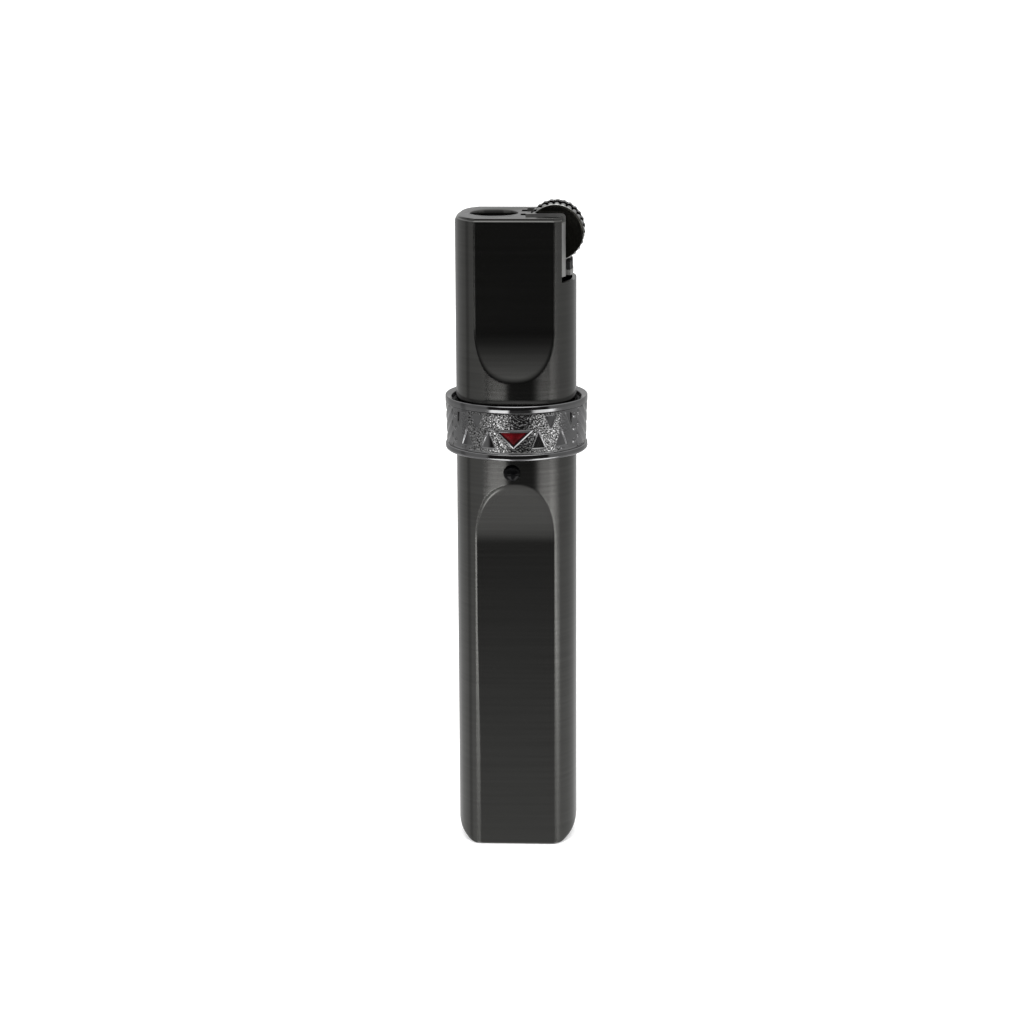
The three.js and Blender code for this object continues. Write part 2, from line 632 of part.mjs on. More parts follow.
// The band: a rail at each edge, a groove beside it, and a sunk field between.
function ringBand() {
  const [bottom, top] = RING_Z;
  const field = RING_RADIUS - 0.25;
  const groove = RING_RADIUS - 0.35;
  const railHeight = 0.75;
  const half = [
    [RING_BORE, bottom], [RING_RADIUS - 0.12, bottom], [RING_RADIUS, bottom + 0.15],
    [RING_RADIUS, bottom + railHeight], [groove, bottom + railHeight + 0.1],
    [groove, bottom + railHeight + 0.5], [field, bottom + railHeight + 0.6],
  ];
  const mirrored = half.map(([radius, z]) => [radius, bottom + top - z]).reverse();
  const made = turned(0, [...half, ...mirrored, half[0]], RING_SIDES);
  return made.subtract(frontTriangle(-0.04, [-RING_RADIUS - 1, BEZEL_SEAT_Y]));
}

function ringBezel() {
  const outer = frontTriangle(0, [-RING_RADIUS + 0.02, BEZEL_SEAT_Y - SLIP]);
  return outer.subtract(frontTriangle(BEZEL_RIM, [-RING_RADIUS - 1, -9]));
}

function ringInlay() {
  return frontTriangle(BEZEL_RIM + 0.02, [-RING_RADIUS + 0.16, BEZEL_SEAT_Y - SLIP]);
}

// The sleeve fills the space between the oval case and the round band.
function ringSleeve() {
  const outside = rodZ(0, RING_BORE - SLIP, SLEEVE_Z, RING_SIDES);
  return outside.subtract(ovalPrism(-0.08, [SLEEVE_Z[0] - 1, SLEEVE_Z[1] + 1]));
}

// The domed stud, turned about Y: dome outside, shank in the wall, flange inside.
function stopStud() {
  const face = -CASE_DEPTH / 2;
  const dome = [0, 0.35, 0.65, 0.9, 1].map((part) => {
    const radius = (STUD_RADIUS - SLIP) * part;
    return [radius, face - STUD_PROUD * Math.sqrt(1 - part ** 2)];
  });
  const [flangeFront, flangeBack] = STUD_FLANGE_Y;
  const inside = [[STUD_RADIUS - SLIP, flangeFront], [1.6, flangeFront], [1.6, flangeBack], [0, flangeBack]];
  const points = [...dome, ...inside].map(([radius, y]) => new THREE.Vector2(radius, y));
  return solid(new THREE.LatheGeometry(points, 24).translate(STUD_X, 0, STUD_Z));
}

function studLeaf() {
  return block([STUD_X - 1.2, STUD_X + 1.2], LEAF_Y, [58.0, 66.5]);
}

// ---- Assembly ----

const caseSolid = caseEnvelope();
const casing = new THREE.Group();
casing.add(
  piece("upper_case", upperCase(caseSolid), MATERIALS.gunmetal),
  piece("lower_case", lowerCase(caseSolid), MATERIALS.gunmetal),
  piece("wheel_frame", wheelFrame(), MATERIALS.zinc),
  piece("wheel_axle", rodY(WHEEL_X, WHEEL_Z, AXLE_RADIUS, [-4.2, 4.2]), MATERIALS.greySteel),
  piece("rocker_pin", rodY(ROCKER_X, ROCKER_Z, ROCKER_PIN_RADIUS, [-4.8, 4.8]), MATERIALS.greySteel),
);

const flintWheel = new THREE.Group();
flintWheel.add(
  piece("wheel_disc_front", wheelDisc(-1), MATERIALS.wheelSteel),
  piece("wheel_disc_rear", wheelDisc(1), MATERIALS.wheelSteel),
  piece("striker_wheel", strikerWheel(), MATERIALS.wheelSteel),
);

const flintLine = new THREE.Group();
const flintSpringZ = [FLINT_SCREW_Z[1] + 0.02, FLINT_Z[0] - 0.02];
flintLine.add(
  piece("flint", rodZ(FLINT_X, FLINT_RADIUS, FLINT_Z), MATERIALS.flint),
  piece("flint_tube", tube(FLINT_X, FLINT_TUBE_RADIUS, FLINT_TUBE_BORE, FLINT_TUBE_Z), MATERIALS.brass),
  piece(
    "flint_spring",
    coilSpring(FLINT_X, 1.0, 0.2, flintSpringZ, FLINT_SPRING_TURNS),
    MATERIALS.spring,
  ),
  piece("flint_screw", flintScrew(), MATERIALS.brass),
);

const gasControl = new THREE.Group();
gasControl.add(
  piece("gas_button", buttonFrame(), MATERIALS.greySteel),
  piece("button_pad", buttonPad(), MATERIALS.blackPlastic),
  piece("valve_rocker", rocker(), MATERIALS.greySteel),
);

const gasLine = new THREE.Group();
gasLine.add(
  piece("gas_tank", tank(), MATERIALS.tankPlastic),
  piece("tank_plug", tankPlug(), MATERIALS.tankPlastic),
  piece("valve_body", valveBody(), MATERIALS.brass),
  piece("valve_gasket", tube(GAS_X, 2.8, 2.3, [TANK_TOP_Z + 0.02, 57.18]), MATERIALS.rubber),
  piece("valve_cap", valveCap(), MATERIALS.brass),
  piece("valve_stem", valveStem(), MATERIALS.brass),
  piece("valve_seal", rodZ(GAS_X, 1.3, [57.92, 58.23]), MATERIALS.rubber),
  piece("valve_spring", coilSpring(GAS_X, 1.3, 0.2, [59.02, 66.2], 5), MATERIALS.spring),
  piece("flow_filter", rodZ(GAS_X, 1.55, [50.35, 51.98]), MATERIALS.ceramic),
  piece("gas_hose", tube(GAS_X, 1.5, 0.92, [71.4, 77.3]), MATERIALS.silicone),
  piece("jet_nozzle", jetNozzle(), MATERIALS.brass),
  piece("mixing_tube", mixingTube(), MATERIALS.brass),
  piece("flame_disc", flameDisc(), MATERIALS.ceramic),
  piece("windscreen", windscreen(), MATERIALS.greySteel),
);

const baseValves = new THREE.Group();
baseValves.add(
  piece("refill_body", refillBody(), MATERIALS.brass),
  piece("refill_stem", refillStem(), MATERIALS.brass),
  piece("refill_seal", tube(REFILL_X, 1.3, 0.8, [2.65, 3.2]), MATERIALS.rubber),
  piece("refill_spring", coilSpring(REFILL_X, 0.95, 0.16, [4.05, 10.85], 5), MATERIALS.spring),
  piece("flame_adjuster", flameAdjuster(), MATERIALS.brass),
  piece("adjuster_o_ring", oRing(GAS_X, 7.95, 1.05, 0.36), MATERIALS.rubber),
);

const ring = new THREE.Group();
ring.add(
  piece("ring_band", ringBand(), MATERIALS.blackChrome),
  piece("ring_bezel", ringBezel(), MATERIALS.blackChrome),
  piece("ring_inlay", ringInlay(), MATERIALS.enamel),
  piece("ring_sleeve", ringSleeve(), MATERIALS.rubber),
  piece("stop_stud", stopStud(), MATERIALS.glossBlack),
  piece("stud_leaf_spring", studLeaf(), MATERIALS.spring),
);

const torch = new THREE.Group();
torch.add(casing, flintWheel, flintLine, gasControl, gasLine, baseValves, ring);

export default torch;
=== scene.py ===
import json
import math

import bmesh
import bpy
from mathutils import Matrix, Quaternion, Vector, noise


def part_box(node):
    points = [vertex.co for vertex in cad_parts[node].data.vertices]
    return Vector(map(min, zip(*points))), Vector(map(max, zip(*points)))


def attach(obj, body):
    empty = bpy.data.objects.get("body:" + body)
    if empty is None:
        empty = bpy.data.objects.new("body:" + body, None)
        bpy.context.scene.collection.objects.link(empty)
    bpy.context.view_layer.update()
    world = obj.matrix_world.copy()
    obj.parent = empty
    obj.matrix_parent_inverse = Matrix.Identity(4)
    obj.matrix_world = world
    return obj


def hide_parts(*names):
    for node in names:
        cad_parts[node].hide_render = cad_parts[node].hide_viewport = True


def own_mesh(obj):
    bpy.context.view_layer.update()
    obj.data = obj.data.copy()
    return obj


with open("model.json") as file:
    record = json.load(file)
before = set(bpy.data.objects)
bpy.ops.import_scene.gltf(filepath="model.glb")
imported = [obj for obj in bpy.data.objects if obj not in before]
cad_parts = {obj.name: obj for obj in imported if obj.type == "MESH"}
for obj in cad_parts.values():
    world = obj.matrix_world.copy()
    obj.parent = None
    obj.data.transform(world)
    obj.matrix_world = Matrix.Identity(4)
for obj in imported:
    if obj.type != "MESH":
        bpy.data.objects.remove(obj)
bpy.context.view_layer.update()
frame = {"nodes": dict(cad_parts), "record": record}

MM = 0.001

# ---- The case: sizes in millimetres, from the frame where it has them ----

def mm_box(node):
    """A CAD node's lowest and highest corner in millimetres."""
    low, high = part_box(node)
    return Vector(low) / MM, Vector(high) / MM


HALF_WIDTH, HALF_DEPTH, SEAM_Z = mm_box("lower_case")[1]
TOP_Z = mm_box("upper_case")[1].z
OVAL_POWER = 2.35
TOP_PLATE = 0.8
TOP_FILLET = 1.2
BASE_ROUND_IN = 2.6
BASE_ROUND_UP = 3.4
CORNER_SOFTNESS = 1.1
FACET_Y = 6.95
EDGE_ROUND = 0.3
# The top plate stands on a small step: inset against the distance below the top
TOP_STEP = [(0.0, 0.36), (0.04, 0.31), (0.07, 0.3), (0.3, 0.27), (0.33, 0.25), (0.42, 0.05), (0.48, 0.0)]
UPPER_FACET_TIP_Z = 73.3
UPPER_FACET_RAMP = 8.0
LOWER_FACET_TIP_Z = 57.1
LOWER_FACET_RAMP = 9.0
# The facets' long edges are crisp down to one height and softest below another
CRISP_EDGE, CRISP_DOWN_TO = 0.18, 36.0
SOFT_EDGE, SOFT_BELOW = 0.4, 16.0
WALL = 0.6
CAVITY_HALF_DEPTH = 6.25
CAVITY_FLOOR_Z = 3.6
# The base is hollowed a little deeper within its thick edge
BASE_EDGE = 2.4
BASE_FLOOR_Z = 1.2
ADJUSTER_HOLE_RADIUS = 1.4
REFILL_HOLE_RADIUS = 1.8
SCREW_HOLE_RADIUS = 1.5
# How far a cutting block reaches past the case
PAST_CASE = 30

WHEEL_LOW, WHEEL_HIGH = mm_box("wheel_disc_front")
WHEEL_X = (WHEEL_LOW.x + WHEEL_HIGH.x) / 2
WHEEL_Z = (WHEEL_LOW.z + WHEEL_HIGH.z) / 2
WHEEL_RADIUS = (WHEEL_HIGH.z - WHEEL_LOW.z) / 2
WHEEL_TEETH = 27
# The wheel's slots in the top plate, the same front and back: where each starts in x, and its sides in y
DISC_SLOT = (0.85, 1.2, 3.05)
CHEEK_SLOT = (1.6, 2.0, 3.7)
MIDDLE_SLOT_X = 2.3
MIDDLE_SLOT_Y = 2.1

SCREEN_LOW, SCREEN_HIGH = mm_box("windscreen")
GAS_X = (SCREEN_LOW.x + SCREEN_HIGH.x) / 2
MOUTH_RADIUS = 3.59
NOTCH_X = 7.12
NOTCH_Z = 87.8
SPARK_WINDOW_Z = (90.0, 95.0)
SPARK_WINDOW_Y = (-1.3, 1.3)

RING_LOW, RING_HIGH = mm_box("ring_band")
RING_RADIUS = RING_HIGH.x
RING_BORE = 9.85
GRAIN_SIZE = 0.27
GRAIN_HEIGHT = 0.02
BEAD_PITCH = 1.95
STUD_LOW, STUD_HIGH = mm_box("stop_stud")
STUD_X = (STUD_LOW.x + STUD_HIGH.x) / 2
STUD_Z = (STUD_LOW.z + STUD_HIGH.z) / 2
STUD_RADIUS = 1.24
# Steps round a turned piece, and the radius that stands for its axis
TURNED_STEPS = 96
AXIS_RADIUS = 0.001


# ---- Mesh helpers ----

def make_object(name, vertices, faces, material, smooth_angle=40):
    """An object from points in millimetres, smooth except at edges sharper than the angle."""
    mesh = bpy.data.meshes.new(name)
    mesh.from_pydata([Vector(v) * MM for v in vertices], [], faces)
    mesh.validate()
    made = bpy.data.objects.new(name, mesh)
    bpy.context.scene.collection.objects.link(made)
    outward(mesh)
    smooth(mesh, smooth_angle)
    mesh.materials.append(material)
    return made


def outward(mesh):
    """Turns every face of a closed mesh to point out."""
    work = bmesh.new()
    work.from_mesh(mesh)
    bmesh.ops.recalc_face_normals(work, faces=work.faces)
    work.to_mesh(mesh)
    work.free()


def smooth(mesh, angle):
    """Smooth shading, with sharp edges where faces meet at more than the angle."""
    mesh.polygons.foreach_set("use_smooth", [True] * len(mesh.polygons))
    mesh.set_sharp_from_angle(angle=math.radians(angle))


def grid_faces(rows, columns, closed_rows=False):
    """Quads of a grid whose rows are closed loops; closed_rows joins the last row to the first."""
    faces = []
    for i in range(rows if closed_rows else rows - 1):
        below, above = i * columns, ((i + 1) % rows) * columns
        for j in range(columns):
            k = (j + 1) % columns
            faces.append((below + j, below + k, above + k, above + j))
    return faces


def lathe(name, axis_x, profile, material, axis="Z", centre_z=0.0):
    """A turned piece. The profile is (radius, height) points round a closed section."""
    vertices = []
    for radius, height in profile:
        for j in range(TURNED_STEPS):
            angle = 2 * math.pi * j / TURNED_STEPS
            across, along = radius * math.cos(angle), radius * math.sin(angle)
            if axis == "Z":
                vertices.append((axis_x + across, along, height))
            else:
                vertices.append((axis_x + across, height, centre_z + along))
    faces = grid_faces(len(profile), TURNED_STEPS, closed_rows=True)
    made = make_object(name, vertices, faces, material)
    work = bmesh.new()
    work.from_mesh(made.data)
    bmesh.ops.remove_doubles(work, verts=work.verts, dist=1e-7)
    bmesh.ops.recalc_face_normals(work, faces=work.faces)
    work.to_mesh(made.data)
    work.free()
    smooth(made.data, 35)
    return made


def box_cutter(x, y, z):
    """A plain block used only to cut."""
    work = bmesh.new()
    corners = [(a, b, c) for a in x for b in y for c in z]
    points = [work.verts.new(Vector(corner) * MM) for corner in corners]
    for face in ((0, 1, 3, 2), (4, 6, 7, 5), (0, 4, 5, 1), (2, 3, 7, 6), (0, 2, 6, 4), (1, 5, 7, 3)):
        work.faces.new([points[i] for i in face])
    return cutter_object(work)


def cutter_object(work):
    """The cutter that a finished bmesh makes."""
    bmesh.ops.recalc_face_normals(work, faces=work.faces)
    mesh = bpy.data.meshes.new("cutter")
    work.to_mesh(mesh)
    work.free()
    made = bpy.data.objects.new("cutter", mesh)
    bpy.context.scene.collection.objects.link(made)
    return made


def round_cutter(axis_x, profile, axis="Z", centre_z=0.0, columns=TURNED_STEPS):
    """A turned cutter: (radius, height) points from end to end, with both ends closed."""
    work = bmesh.new()
    rows = []
    for radius, height in profile:
        row = []
        for j in range(columns):
            angle = 2 * math.pi * j / columns
            across, along = radius * math.cos(angle), radius * math.sin(angle)
            point = (axis_x + across, along, height)
            if axis == "Y":
                point = (axis_x + across, height, centre_z + along)
            row.append(work.verts.new(Vector(point) * MM))
        rows.append(row)
    for below, above in zip(rows, rows[1:]):
        for j in range(columns):
            k = (j + 1) % columns
            work.faces.new((below[j], below[k], above[k], above[j]))
    work.faces.new(rows[0][::-1])
    work.faces.new(rows[-1])
    return cutter_object(work)


def cut(target, cutters):
    """Cuts the cutters out of the target and deletes them."""
    for tool in cutters:
        modifier = target.modifiers.new("cut", "BOOLEAN")
        modifier.operation = "DIFFERENCE"
        modifier.solver = "MANIFOLD"
        modifier.object = tool
    depsgraph = bpy.context.evaluated_depsgraph_get()
    material = target.data.materials[0]
    result = bpy.data.meshes.new_from_object(target.evaluated_get(depsgraph))
    target.modifiers.clear()
    target.data = result
    if not result.materials:
        result.materials.append(material)
    for tool in cutters:
        bpy.data.objects.remove(tool)


# ---- Material helpers ----

class Shader:
    """A Principled material with short ways to add the nodes that these materials use."""

    def __init__(self, name, colour, metallic=0.0, roughness=0.5):
        self.material = bpy.data.materials.new(name)
        self.material.use_nodes = True
        self.nodes = self.material.node_tree.nodes
        self.links = self.material.node_tree.links
        self.bsdf = self.nodes["Principled BSDF"]
        self.bsdf.inputs["Base Color"].default_value = (*colour, 1)
        self.bsdf.inputs["Metallic"].default_value = metallic
        self.bsdf.inputs["Roughness"].default_value = roughness
        self.colour = colour
        self.position = self.nodes.new("ShaderNodeTexCoord").outputs["Object"]

    def link(self, output, target):
        self.links.new(output, target)

    def noise(self, per_metre, detail=3.0, roughness=0.5):
        """Noise with its own scale along each axis, in cycles per metre."""
        mapping = self.nodes.new("ShaderNodeMapping")
        mapping.inputs["Scale"].default_value = per_metre
        texture = self.nodes.new("ShaderNodeTexNoise")
        texture.inputs["Scale"].default_value = 1.0
        texture.inputs["Detail"].default_value = detail
        texture.inputs["Roughness"].default_value = roughness
        self.link(self.position, mapping.inputs["Vector"])
        self.link(mapping.outputs["Vector"], texture.inputs["Vector"])
        return texture.outputs["Fac"]

    def cells(self, per_metre):
        """Distance to the nearest of many scattered points."""
        texture = self.nodes.new("ShaderNodeTexVoronoi")
        texture.inputs["Scale"].default_value = per_metre
        self.link(self.position, texture.inputs["Vector"])
        return texture.outputs["Distance"]

    def ramp(self, value, stops):
        """A ramp through (place, colour) stops."""
        node = self.nodes.new("ShaderNodeValToRGB")
        elements = node.color_ramp.elements
        elements[0].position, elements[0].color = stops[0][0], (*stops[0][1], 1)
        elements[1].position, elements[1].color = stops[-1][0], (*stops[-1][1], 1)
        for place, colour in stops[1:-1]:
            elements.new(place).color = (*colour, 1)
        self.link(value, node.inputs["Fac"])
        return node.outputs["Color"]

    def span(self, value, low, high):
        """The value, 0 to 1, spread from low to high."""
        node = self.nodes.new("ShaderNodeMapRange")
        node.inputs["To Min"].default_value = low
        node.inputs["To Max"].default_value = high
        self.link(value, node.inputs["Value"])
        return node.outputs["Result"]

    def shades(self, value, dark, light):
        """Base colour that wanders between a darker and a lighter shade of the material's colour."""
        stops = [
            (0.3, [channel * dark for channel in self.colour]),
            (0.7, [channel * light for channel in self.colour]),
        ]
        self.link(self.ramp(value, stops), self.bsdf.inputs["Base Color"])

    def roughness(self, value, low, high):
        """Roughness that wanders between two levels."""
        self.link(self.span(value, low, high), self.bsdf.inputs["Roughness"])

    def bump(self, value, height_mm, strength=1.0):
        """Adds a bump, on top of any bump that is there."""
        node = self.nodes.new("ShaderNodeBump")
        node.inputs["Distance"].default_value = height_mm * MM
        node.inputs["Strength"].default_value = strength
        self.link(value, node.inputs["Height"])
        existing = self.bsdf.inputs["Normal"].links
        if existing:
            self.link(existing[0].from_socket, node.inputs["Normal"])
        self.link(node.outputs["Normal"], self.bsdf.inputs["Normal"])


# ---- Materials ----

def gunmetal_material():
    """Dark plated metal with fine level brush lines, which spread highlights up and down."""
    shader = Shader("gunmetal", (0.094, 0.094, 0.09), 1.0, 0.14)
    fine_lines = shader.noise((50, 50, 9000), detail=4.0, roughness=0.6)
    streaks = shader.noise((36, 36, 2600), detail=5.0, roughness=0.7)
    shader.shades(streaks, 0.88, 1.12)
    shader.roughness(fine_lines, 0.1, 0.19)
    shader.bump(streaks, 0.005, 0.5)
    shader.bump(fine_lines, 0.001, 0.4)
    around = shader.nodes.new("ShaderNodeTangent")
    around.direction_type = "RADIAL"
    around.axis = "Z"
    shader.link(around.outputs[0], shader.bsdf.inputs["Tangent"])
    shader.bsdf.inputs["Anisotropic"].default_value = 0.5
    shader.bsdf.inputs["Anisotropic Rotation"].default_value = 0.25
    return shader.material


def ring_material():
    """Black chrome, polished, with a faint cloud and unevenness."""
    shader = Shader("ring_black_chrome", (0.17, 0.17, 0.172), 1.0, 0.08)
    cloud = shader.noise((160, 160, 160))
    shader.shades(cloud, 0.8, 1.2)
    shader.roughness(shader.noise((900, 900, 900), detail=4.0), 0.03, 0.12)
    shader.bump(shader.noise((2200, 2200, 2200)), 0.001, 0.4)
    return shader.material


def ring_field_material():
    """The ring's hammered ground, polished, with random black and bright specks in its colour: painted dark
    reflections and painted highlights.
    """
    shader = Shader("ring_hammered_painted_glints", (0.17, 0.17, 0.17), 1.0, 0.08)
    # Painted highlights and painted dark reflections: the base colour runs from near black to twice as
    # bright in small random specks
    shader.shades(shader.noise((4300, 4300, 4300), detail=1.0), 0.02, 2.0)
    shader.roughness(shader.noise((1500, 1500, 1500), detail=4.0), 0.03, 0.12)
    shader.bump(shader.noise((5200, 5200, 5200), detail=2.0), 0.01, 0.5)
    return shader.material


def steel_material(name, colour, low, high, grain):
    """Bare or plated metal with a soft grain and a little staining."""
    shader = Shader(name, colour, 1.0, (low + high) / 2)
    shader.shades(shader.noise((240, 240, 240)), 0.78, 1.18)
    shader.roughness(shader.noise(grain, detail=4.0), low, high)
    shader.bump(shader.noise(grain, detail=4.0), 0.006, 0.5)
    return shader.material


def plastic_material(name, colour, low, high, height):
    """Moulded plastic or rubber with a fine mould grain."""
    shader = Shader(name, colour, 0.0, (low + high) / 2)
    shader.shades(shader.noise((300, 300, 300)), 0.8, 1.25)
    shader.roughness(shader.noise((2600, 2600, 2600), detail=3.0), low, high)
    shader.bump(shader.noise((4200, 4200, 4200)), height, 0.5)
    shader.bsdf.inputs["Specular IOR Level"].default_value = 0.3
    return shader.material


def enamel_material():
    """Deep red enamel, glossy and a little cloudy, with faint specks."""
    shader = Shader("red_enamel", (0.085, 0.002, 0.004), 0.0, 0.16)
    shader.bsdf.inputs["Specular IOR Level"].default_value = 0.14
    shader.shades(shader.noise((900, 900, 900)), 0.6, 1.35)
    shader.roughness(shader.cells(5200), 0.1, 0.24)
    shader.bump(shader.noise((1300, 1300, 1300)), 0.004, 0.4)
    return shader.material


def stud_material():
    """Glossy black, like glass or polished jet."""
    shader = Shader("gloss_black", (0.003, 0.003, 0.0034), 0.0, 0.05)
    shader.bsdf.inputs["Specular IOR Level"].default_value = 0.08
    shader.shades(shader.noise((500, 500, 500)), 0.7, 1.3)
    shader.roughness(shader.noise((1800, 1800, 1800)), 0.03, 0.09)
    return shader.material


GUNMETAL = gunmetal_material()
RING_METAL = ring_material()
RING_FIELD_PAINTED_GLINTS = ring_field_material()
WHEEL_STEEL = steel_material("wheel_steel", (0.2, 0.2, 0.195), 0.1, 0.22, (1400, 1400, 1400))
WHEEL_FACE = steel_material("wheel_face", (0.045, 0.044, 0.038), 0.12, 0.28, (2600, 900, 2600))
ZINC = steel_material("satin_zinc", (0.42, 0.42, 0.41), 0.26, 0.42, (500, 500, 3600))
# Near-black steel for the windscreen: painted shade deep in the jet mouth
MOUTH_SHADE_STEEL = steel_material("mouth_steel_painted_shade", (0.013, 0.0125, 0.012), 0.4, 0.62, (1800, 1800, 1800))
STEEL = steel_material("bright_steel", (0.42, 0.42, 0.41), 0.2, 0.36, (700, 700, 3200))
BRASS = steel_material("turned_brass", (0.62, 0.42, 0.15), 0.18, 0.34, (500, 500, 4200))
FLINT = steel_material("ferrocerium", (0.12, 0.115, 0.11), 0.55, 0.8, (3000, 3000, 3000))
BLACK_PLASTIC = plastic_material("black_plastic", (0.008, 0.008, 0.008), 0.3, 0.5, 0.01)
GLOSS_BLACK = stud_material()
RUBBER = plastic_material("black_rubber", (0.012, 0.012, 0.013), 0.6, 0.85, 0.02)
SILICONE = plastic_material("silicone", (0.58, 0.62, 0.6), 0.35, 0.5, 0.01)
TANK_PLASTIC = plastic_material("tank_plastic", (0.62, 0.6, 0.5), 0.3, 0.42, 0.01)
CERAMIC = plastic_material("ceramic", (0.52, 0.46, 0.38), 0.7, 0.9, 0.03)
ENAMEL = enamel_material()

SLOT_MATERIALS = {
    "case_metal": GUNMETAL,
    "ring_metal": RING_METAL,
    "wheel_steel": WHEEL_STEEL,
    "frame_zinc": ZINC,
    "steel": STEEL,
    "spring_steel": STEEL,
    "brass": BRASS,
    "black_plastic": BLACK_PLASTIC,
    "tank_plastic": TANK_PLASTIC,
    "rubber": RUBBER,
    "silicone": SILICONE,
    "red_enamel": ENAMEL,
    "gloss_black": GLOSS_BLACK,
    "flint": FLINT,
    "ceramic": CERAMIC,
}


# ---- Case ----

def oval_point(angle, inset):
    """A point on the case's oval outline, drawn in by an inset."""
    def rounded(value):
        return math.copysign(abs(value) ** (2 / OVAL_POWER), value)
    x = (HALF_WIDTH - inset) * rounded(math.cos(angle))
    y = (HALF_DEPTH - inset) * rounded(math.sin(angle))
    return x, y


def oval_angles(coarse, fine=None):
    """Angles round the oval by arc length: coarse steps, and fine ones across the facets' edges."""
    samples = 6000
    angles = [2 * math.pi * i / samples for i in range(samples)]
    chosen, travelled = [angles[0]], 0.0
    for a, b in zip(angles, angles[1:]):
        (ax, ay), (bx, by) = oval_point(a, 0), oval_point(b, 0)
        travelled += math.hypot(bx - ax, by - ay)
        near_edge = abs(by) > FACET_Y - 0.3
        if travelled >= (fine if fine and near_edge else coarse):
            chosen.append(b)
            travelled = 0.0
    return chosen


def along(points, place):
    """A value read off a line of (place, value) points, held at its ends."""
    for (a, start), (b, end) in zip(points, points[1:]):
        if place <= b:
            return start + (end - start) * max(0.0, place - a) / (b - a)
    return points[-1][1]


def quarter_round(distance, size_in, size_up):
    """How far a rounded edge is drawn in, at a distance from its end."""
    rest = 1 - distance / size_up
    if rest <= 0:
        return 0.0
    return size_in * (1 - math.sqrt(max(0.0, 1 - rest * rest)))


def end_inset(z):
    """How far the whole outline is drawn in by the small rounding round the top and the base."""
    return along(TOP_STEP, TOP_Z - z) + quarter_round(z, EDGE_ROUND, EDGE_ROUND)


def hold_corner(x, z):
    """The front outline's corners are rounded: x is held within a reach that shrinks near the ends."""
    drawn_in = quarter_round(z, BASE_ROUND_IN, BASE_ROUND_UP)
    drawn_in += quarter_round(TOP_Z - z, TOP_FILLET, TOP_FILLET)
    if drawn_in == 0.0:
        return x
    softness = min(CORNER_SOFTNESS, drawn_in)
    return math.copysign(soft_min(abs(x), HALF_WIDTH - drawn_in, softness), x)


def facet_distance(z):
    """The facets' distance from the middle plane at a height: a flat, then a rise on an arc."""
    crest = HALF_DEPTH - FACET_Y
    if z > (UPPER_FACET_TIP_Z + LOWER_FACET_TIP_Z) / 2:
        ramp, into = UPPER_FACET_RAMP, z - UPPER_FACET_TIP_Z
    else:
        ramp, into = LOWER_FACET_RAMP, LOWER_FACET_TIP_Z - z
    radius = (ramp ** 2 + crest ** 2) / (2 * crest)
    rest = max(0.0, ramp - into)
    rise = radius - math.sqrt(radius ** 2 - rest ** 2) if rest < radius else radius
    return FACET_Y + rise - end_inset(z)


def facet_edge_softness(z):
    """The facets' long edges are crisp near the ring and wear softer towards the base."""
    return along([(SOFT_BELOW, SOFT_EDGE), (CRISP_DOWN_TO, CRISP_EDGE)], z)


def soft_min(a, b, softness):
    """The smaller of two values, with a rounded change between them."""
    h = min(1.0, max(0.0, 0.5 + 0.5 * (b - a) / softness))
    return b + (a - b) * h - softness * h * (1 - h)


def case_heights(low, high):
    """Row heights: fine where the outline changes, coarse where it is straight."""
    fine_spans = (
        (LOWER_FACET_TIP_Z - LOWER_FACET_RAMP - 1.5, LOWER_FACET_TIP_Z + 1),
        (UPPER_FACET_TIP_Z - 1, UPPER_FACET_TIP_Z + UPPER_FACET_RAMP + 1.5),
    )
    bends = [z for span in fine_spans for z in span] + [TOP_Z - place for place, _ in TOP_STEP]
    stops = sorted({low, high, BASE_ROUND_UP, TOP_Z - TOP_FILLET, *bends})
    rows = [low]
    while rows[-1] < high:
        z = rows[-1]
        if z < BASE_ROUND_UP:
            step = 0.03 + 0.08 * z
        elif z >= TOP_Z - TOP_FILLET:
            step = max(0.03, 0.12 * (TOP_Z - z))
        elif any(start <= z < end for start, end in fine_spans):
            step = 0.1
        else:
            step = 2.0
        following = min((stop for stop in stops if stop > z), default=high)
        rows.append(min(z + step, following, high))
    return rows


def case_solid(name, low, high):
    """A solid slice of the case, closed at both ends."""
    angles = oval_angles(0.2, 0.09)
    vertices = []
    heights = case_heights(low, high)
    for z in heights:
        inset, facet, softness = end_inset(z), facet_distance(z), facet_edge_softness(z)
        for angle in angles:
            x, y = oval_point(angle, inset)
            depth = soft_min(abs(y), facet, softness)
            vertices.append((hold_corner(x, z), math.copysign(max(0.0, depth), y), z))
    columns = len(angles)
    faces = grid_faces(len(heights), columns)
    faces.append(tuple(reversed(range(columns))))
    faces.append(tuple(range((len(heights) - 1) * columns, len(heights) * columns)))
    return make_object(name, vertices, faces, GUNMETAL, smooth_angle=60)


def cavity_cutter(inset, half_depth, low, high):
    """The oval room inside the case, cut flat front and back."""
    work = bmesh.new()
    rows = []
    for z in (low, high):
        row = []
        for angle in oval_angles(0.6):
            x, y = oval_point(angle, inset)
            row.append(work.verts.new(Vector((x, max(-half_depth, min(half_depth, y)), z)) * MM))
        rows.append(row)
    count = len(rows[0])
    for j in range(count):
        k = (j + 1) % count
        work.faces.new((rows[0][j], rows[0][k], rows[1][k], rows[1][j]))
    work.faces.new(rows[0][::-1])
    work.faces.new(rows[1])
    return cutter_object(work)


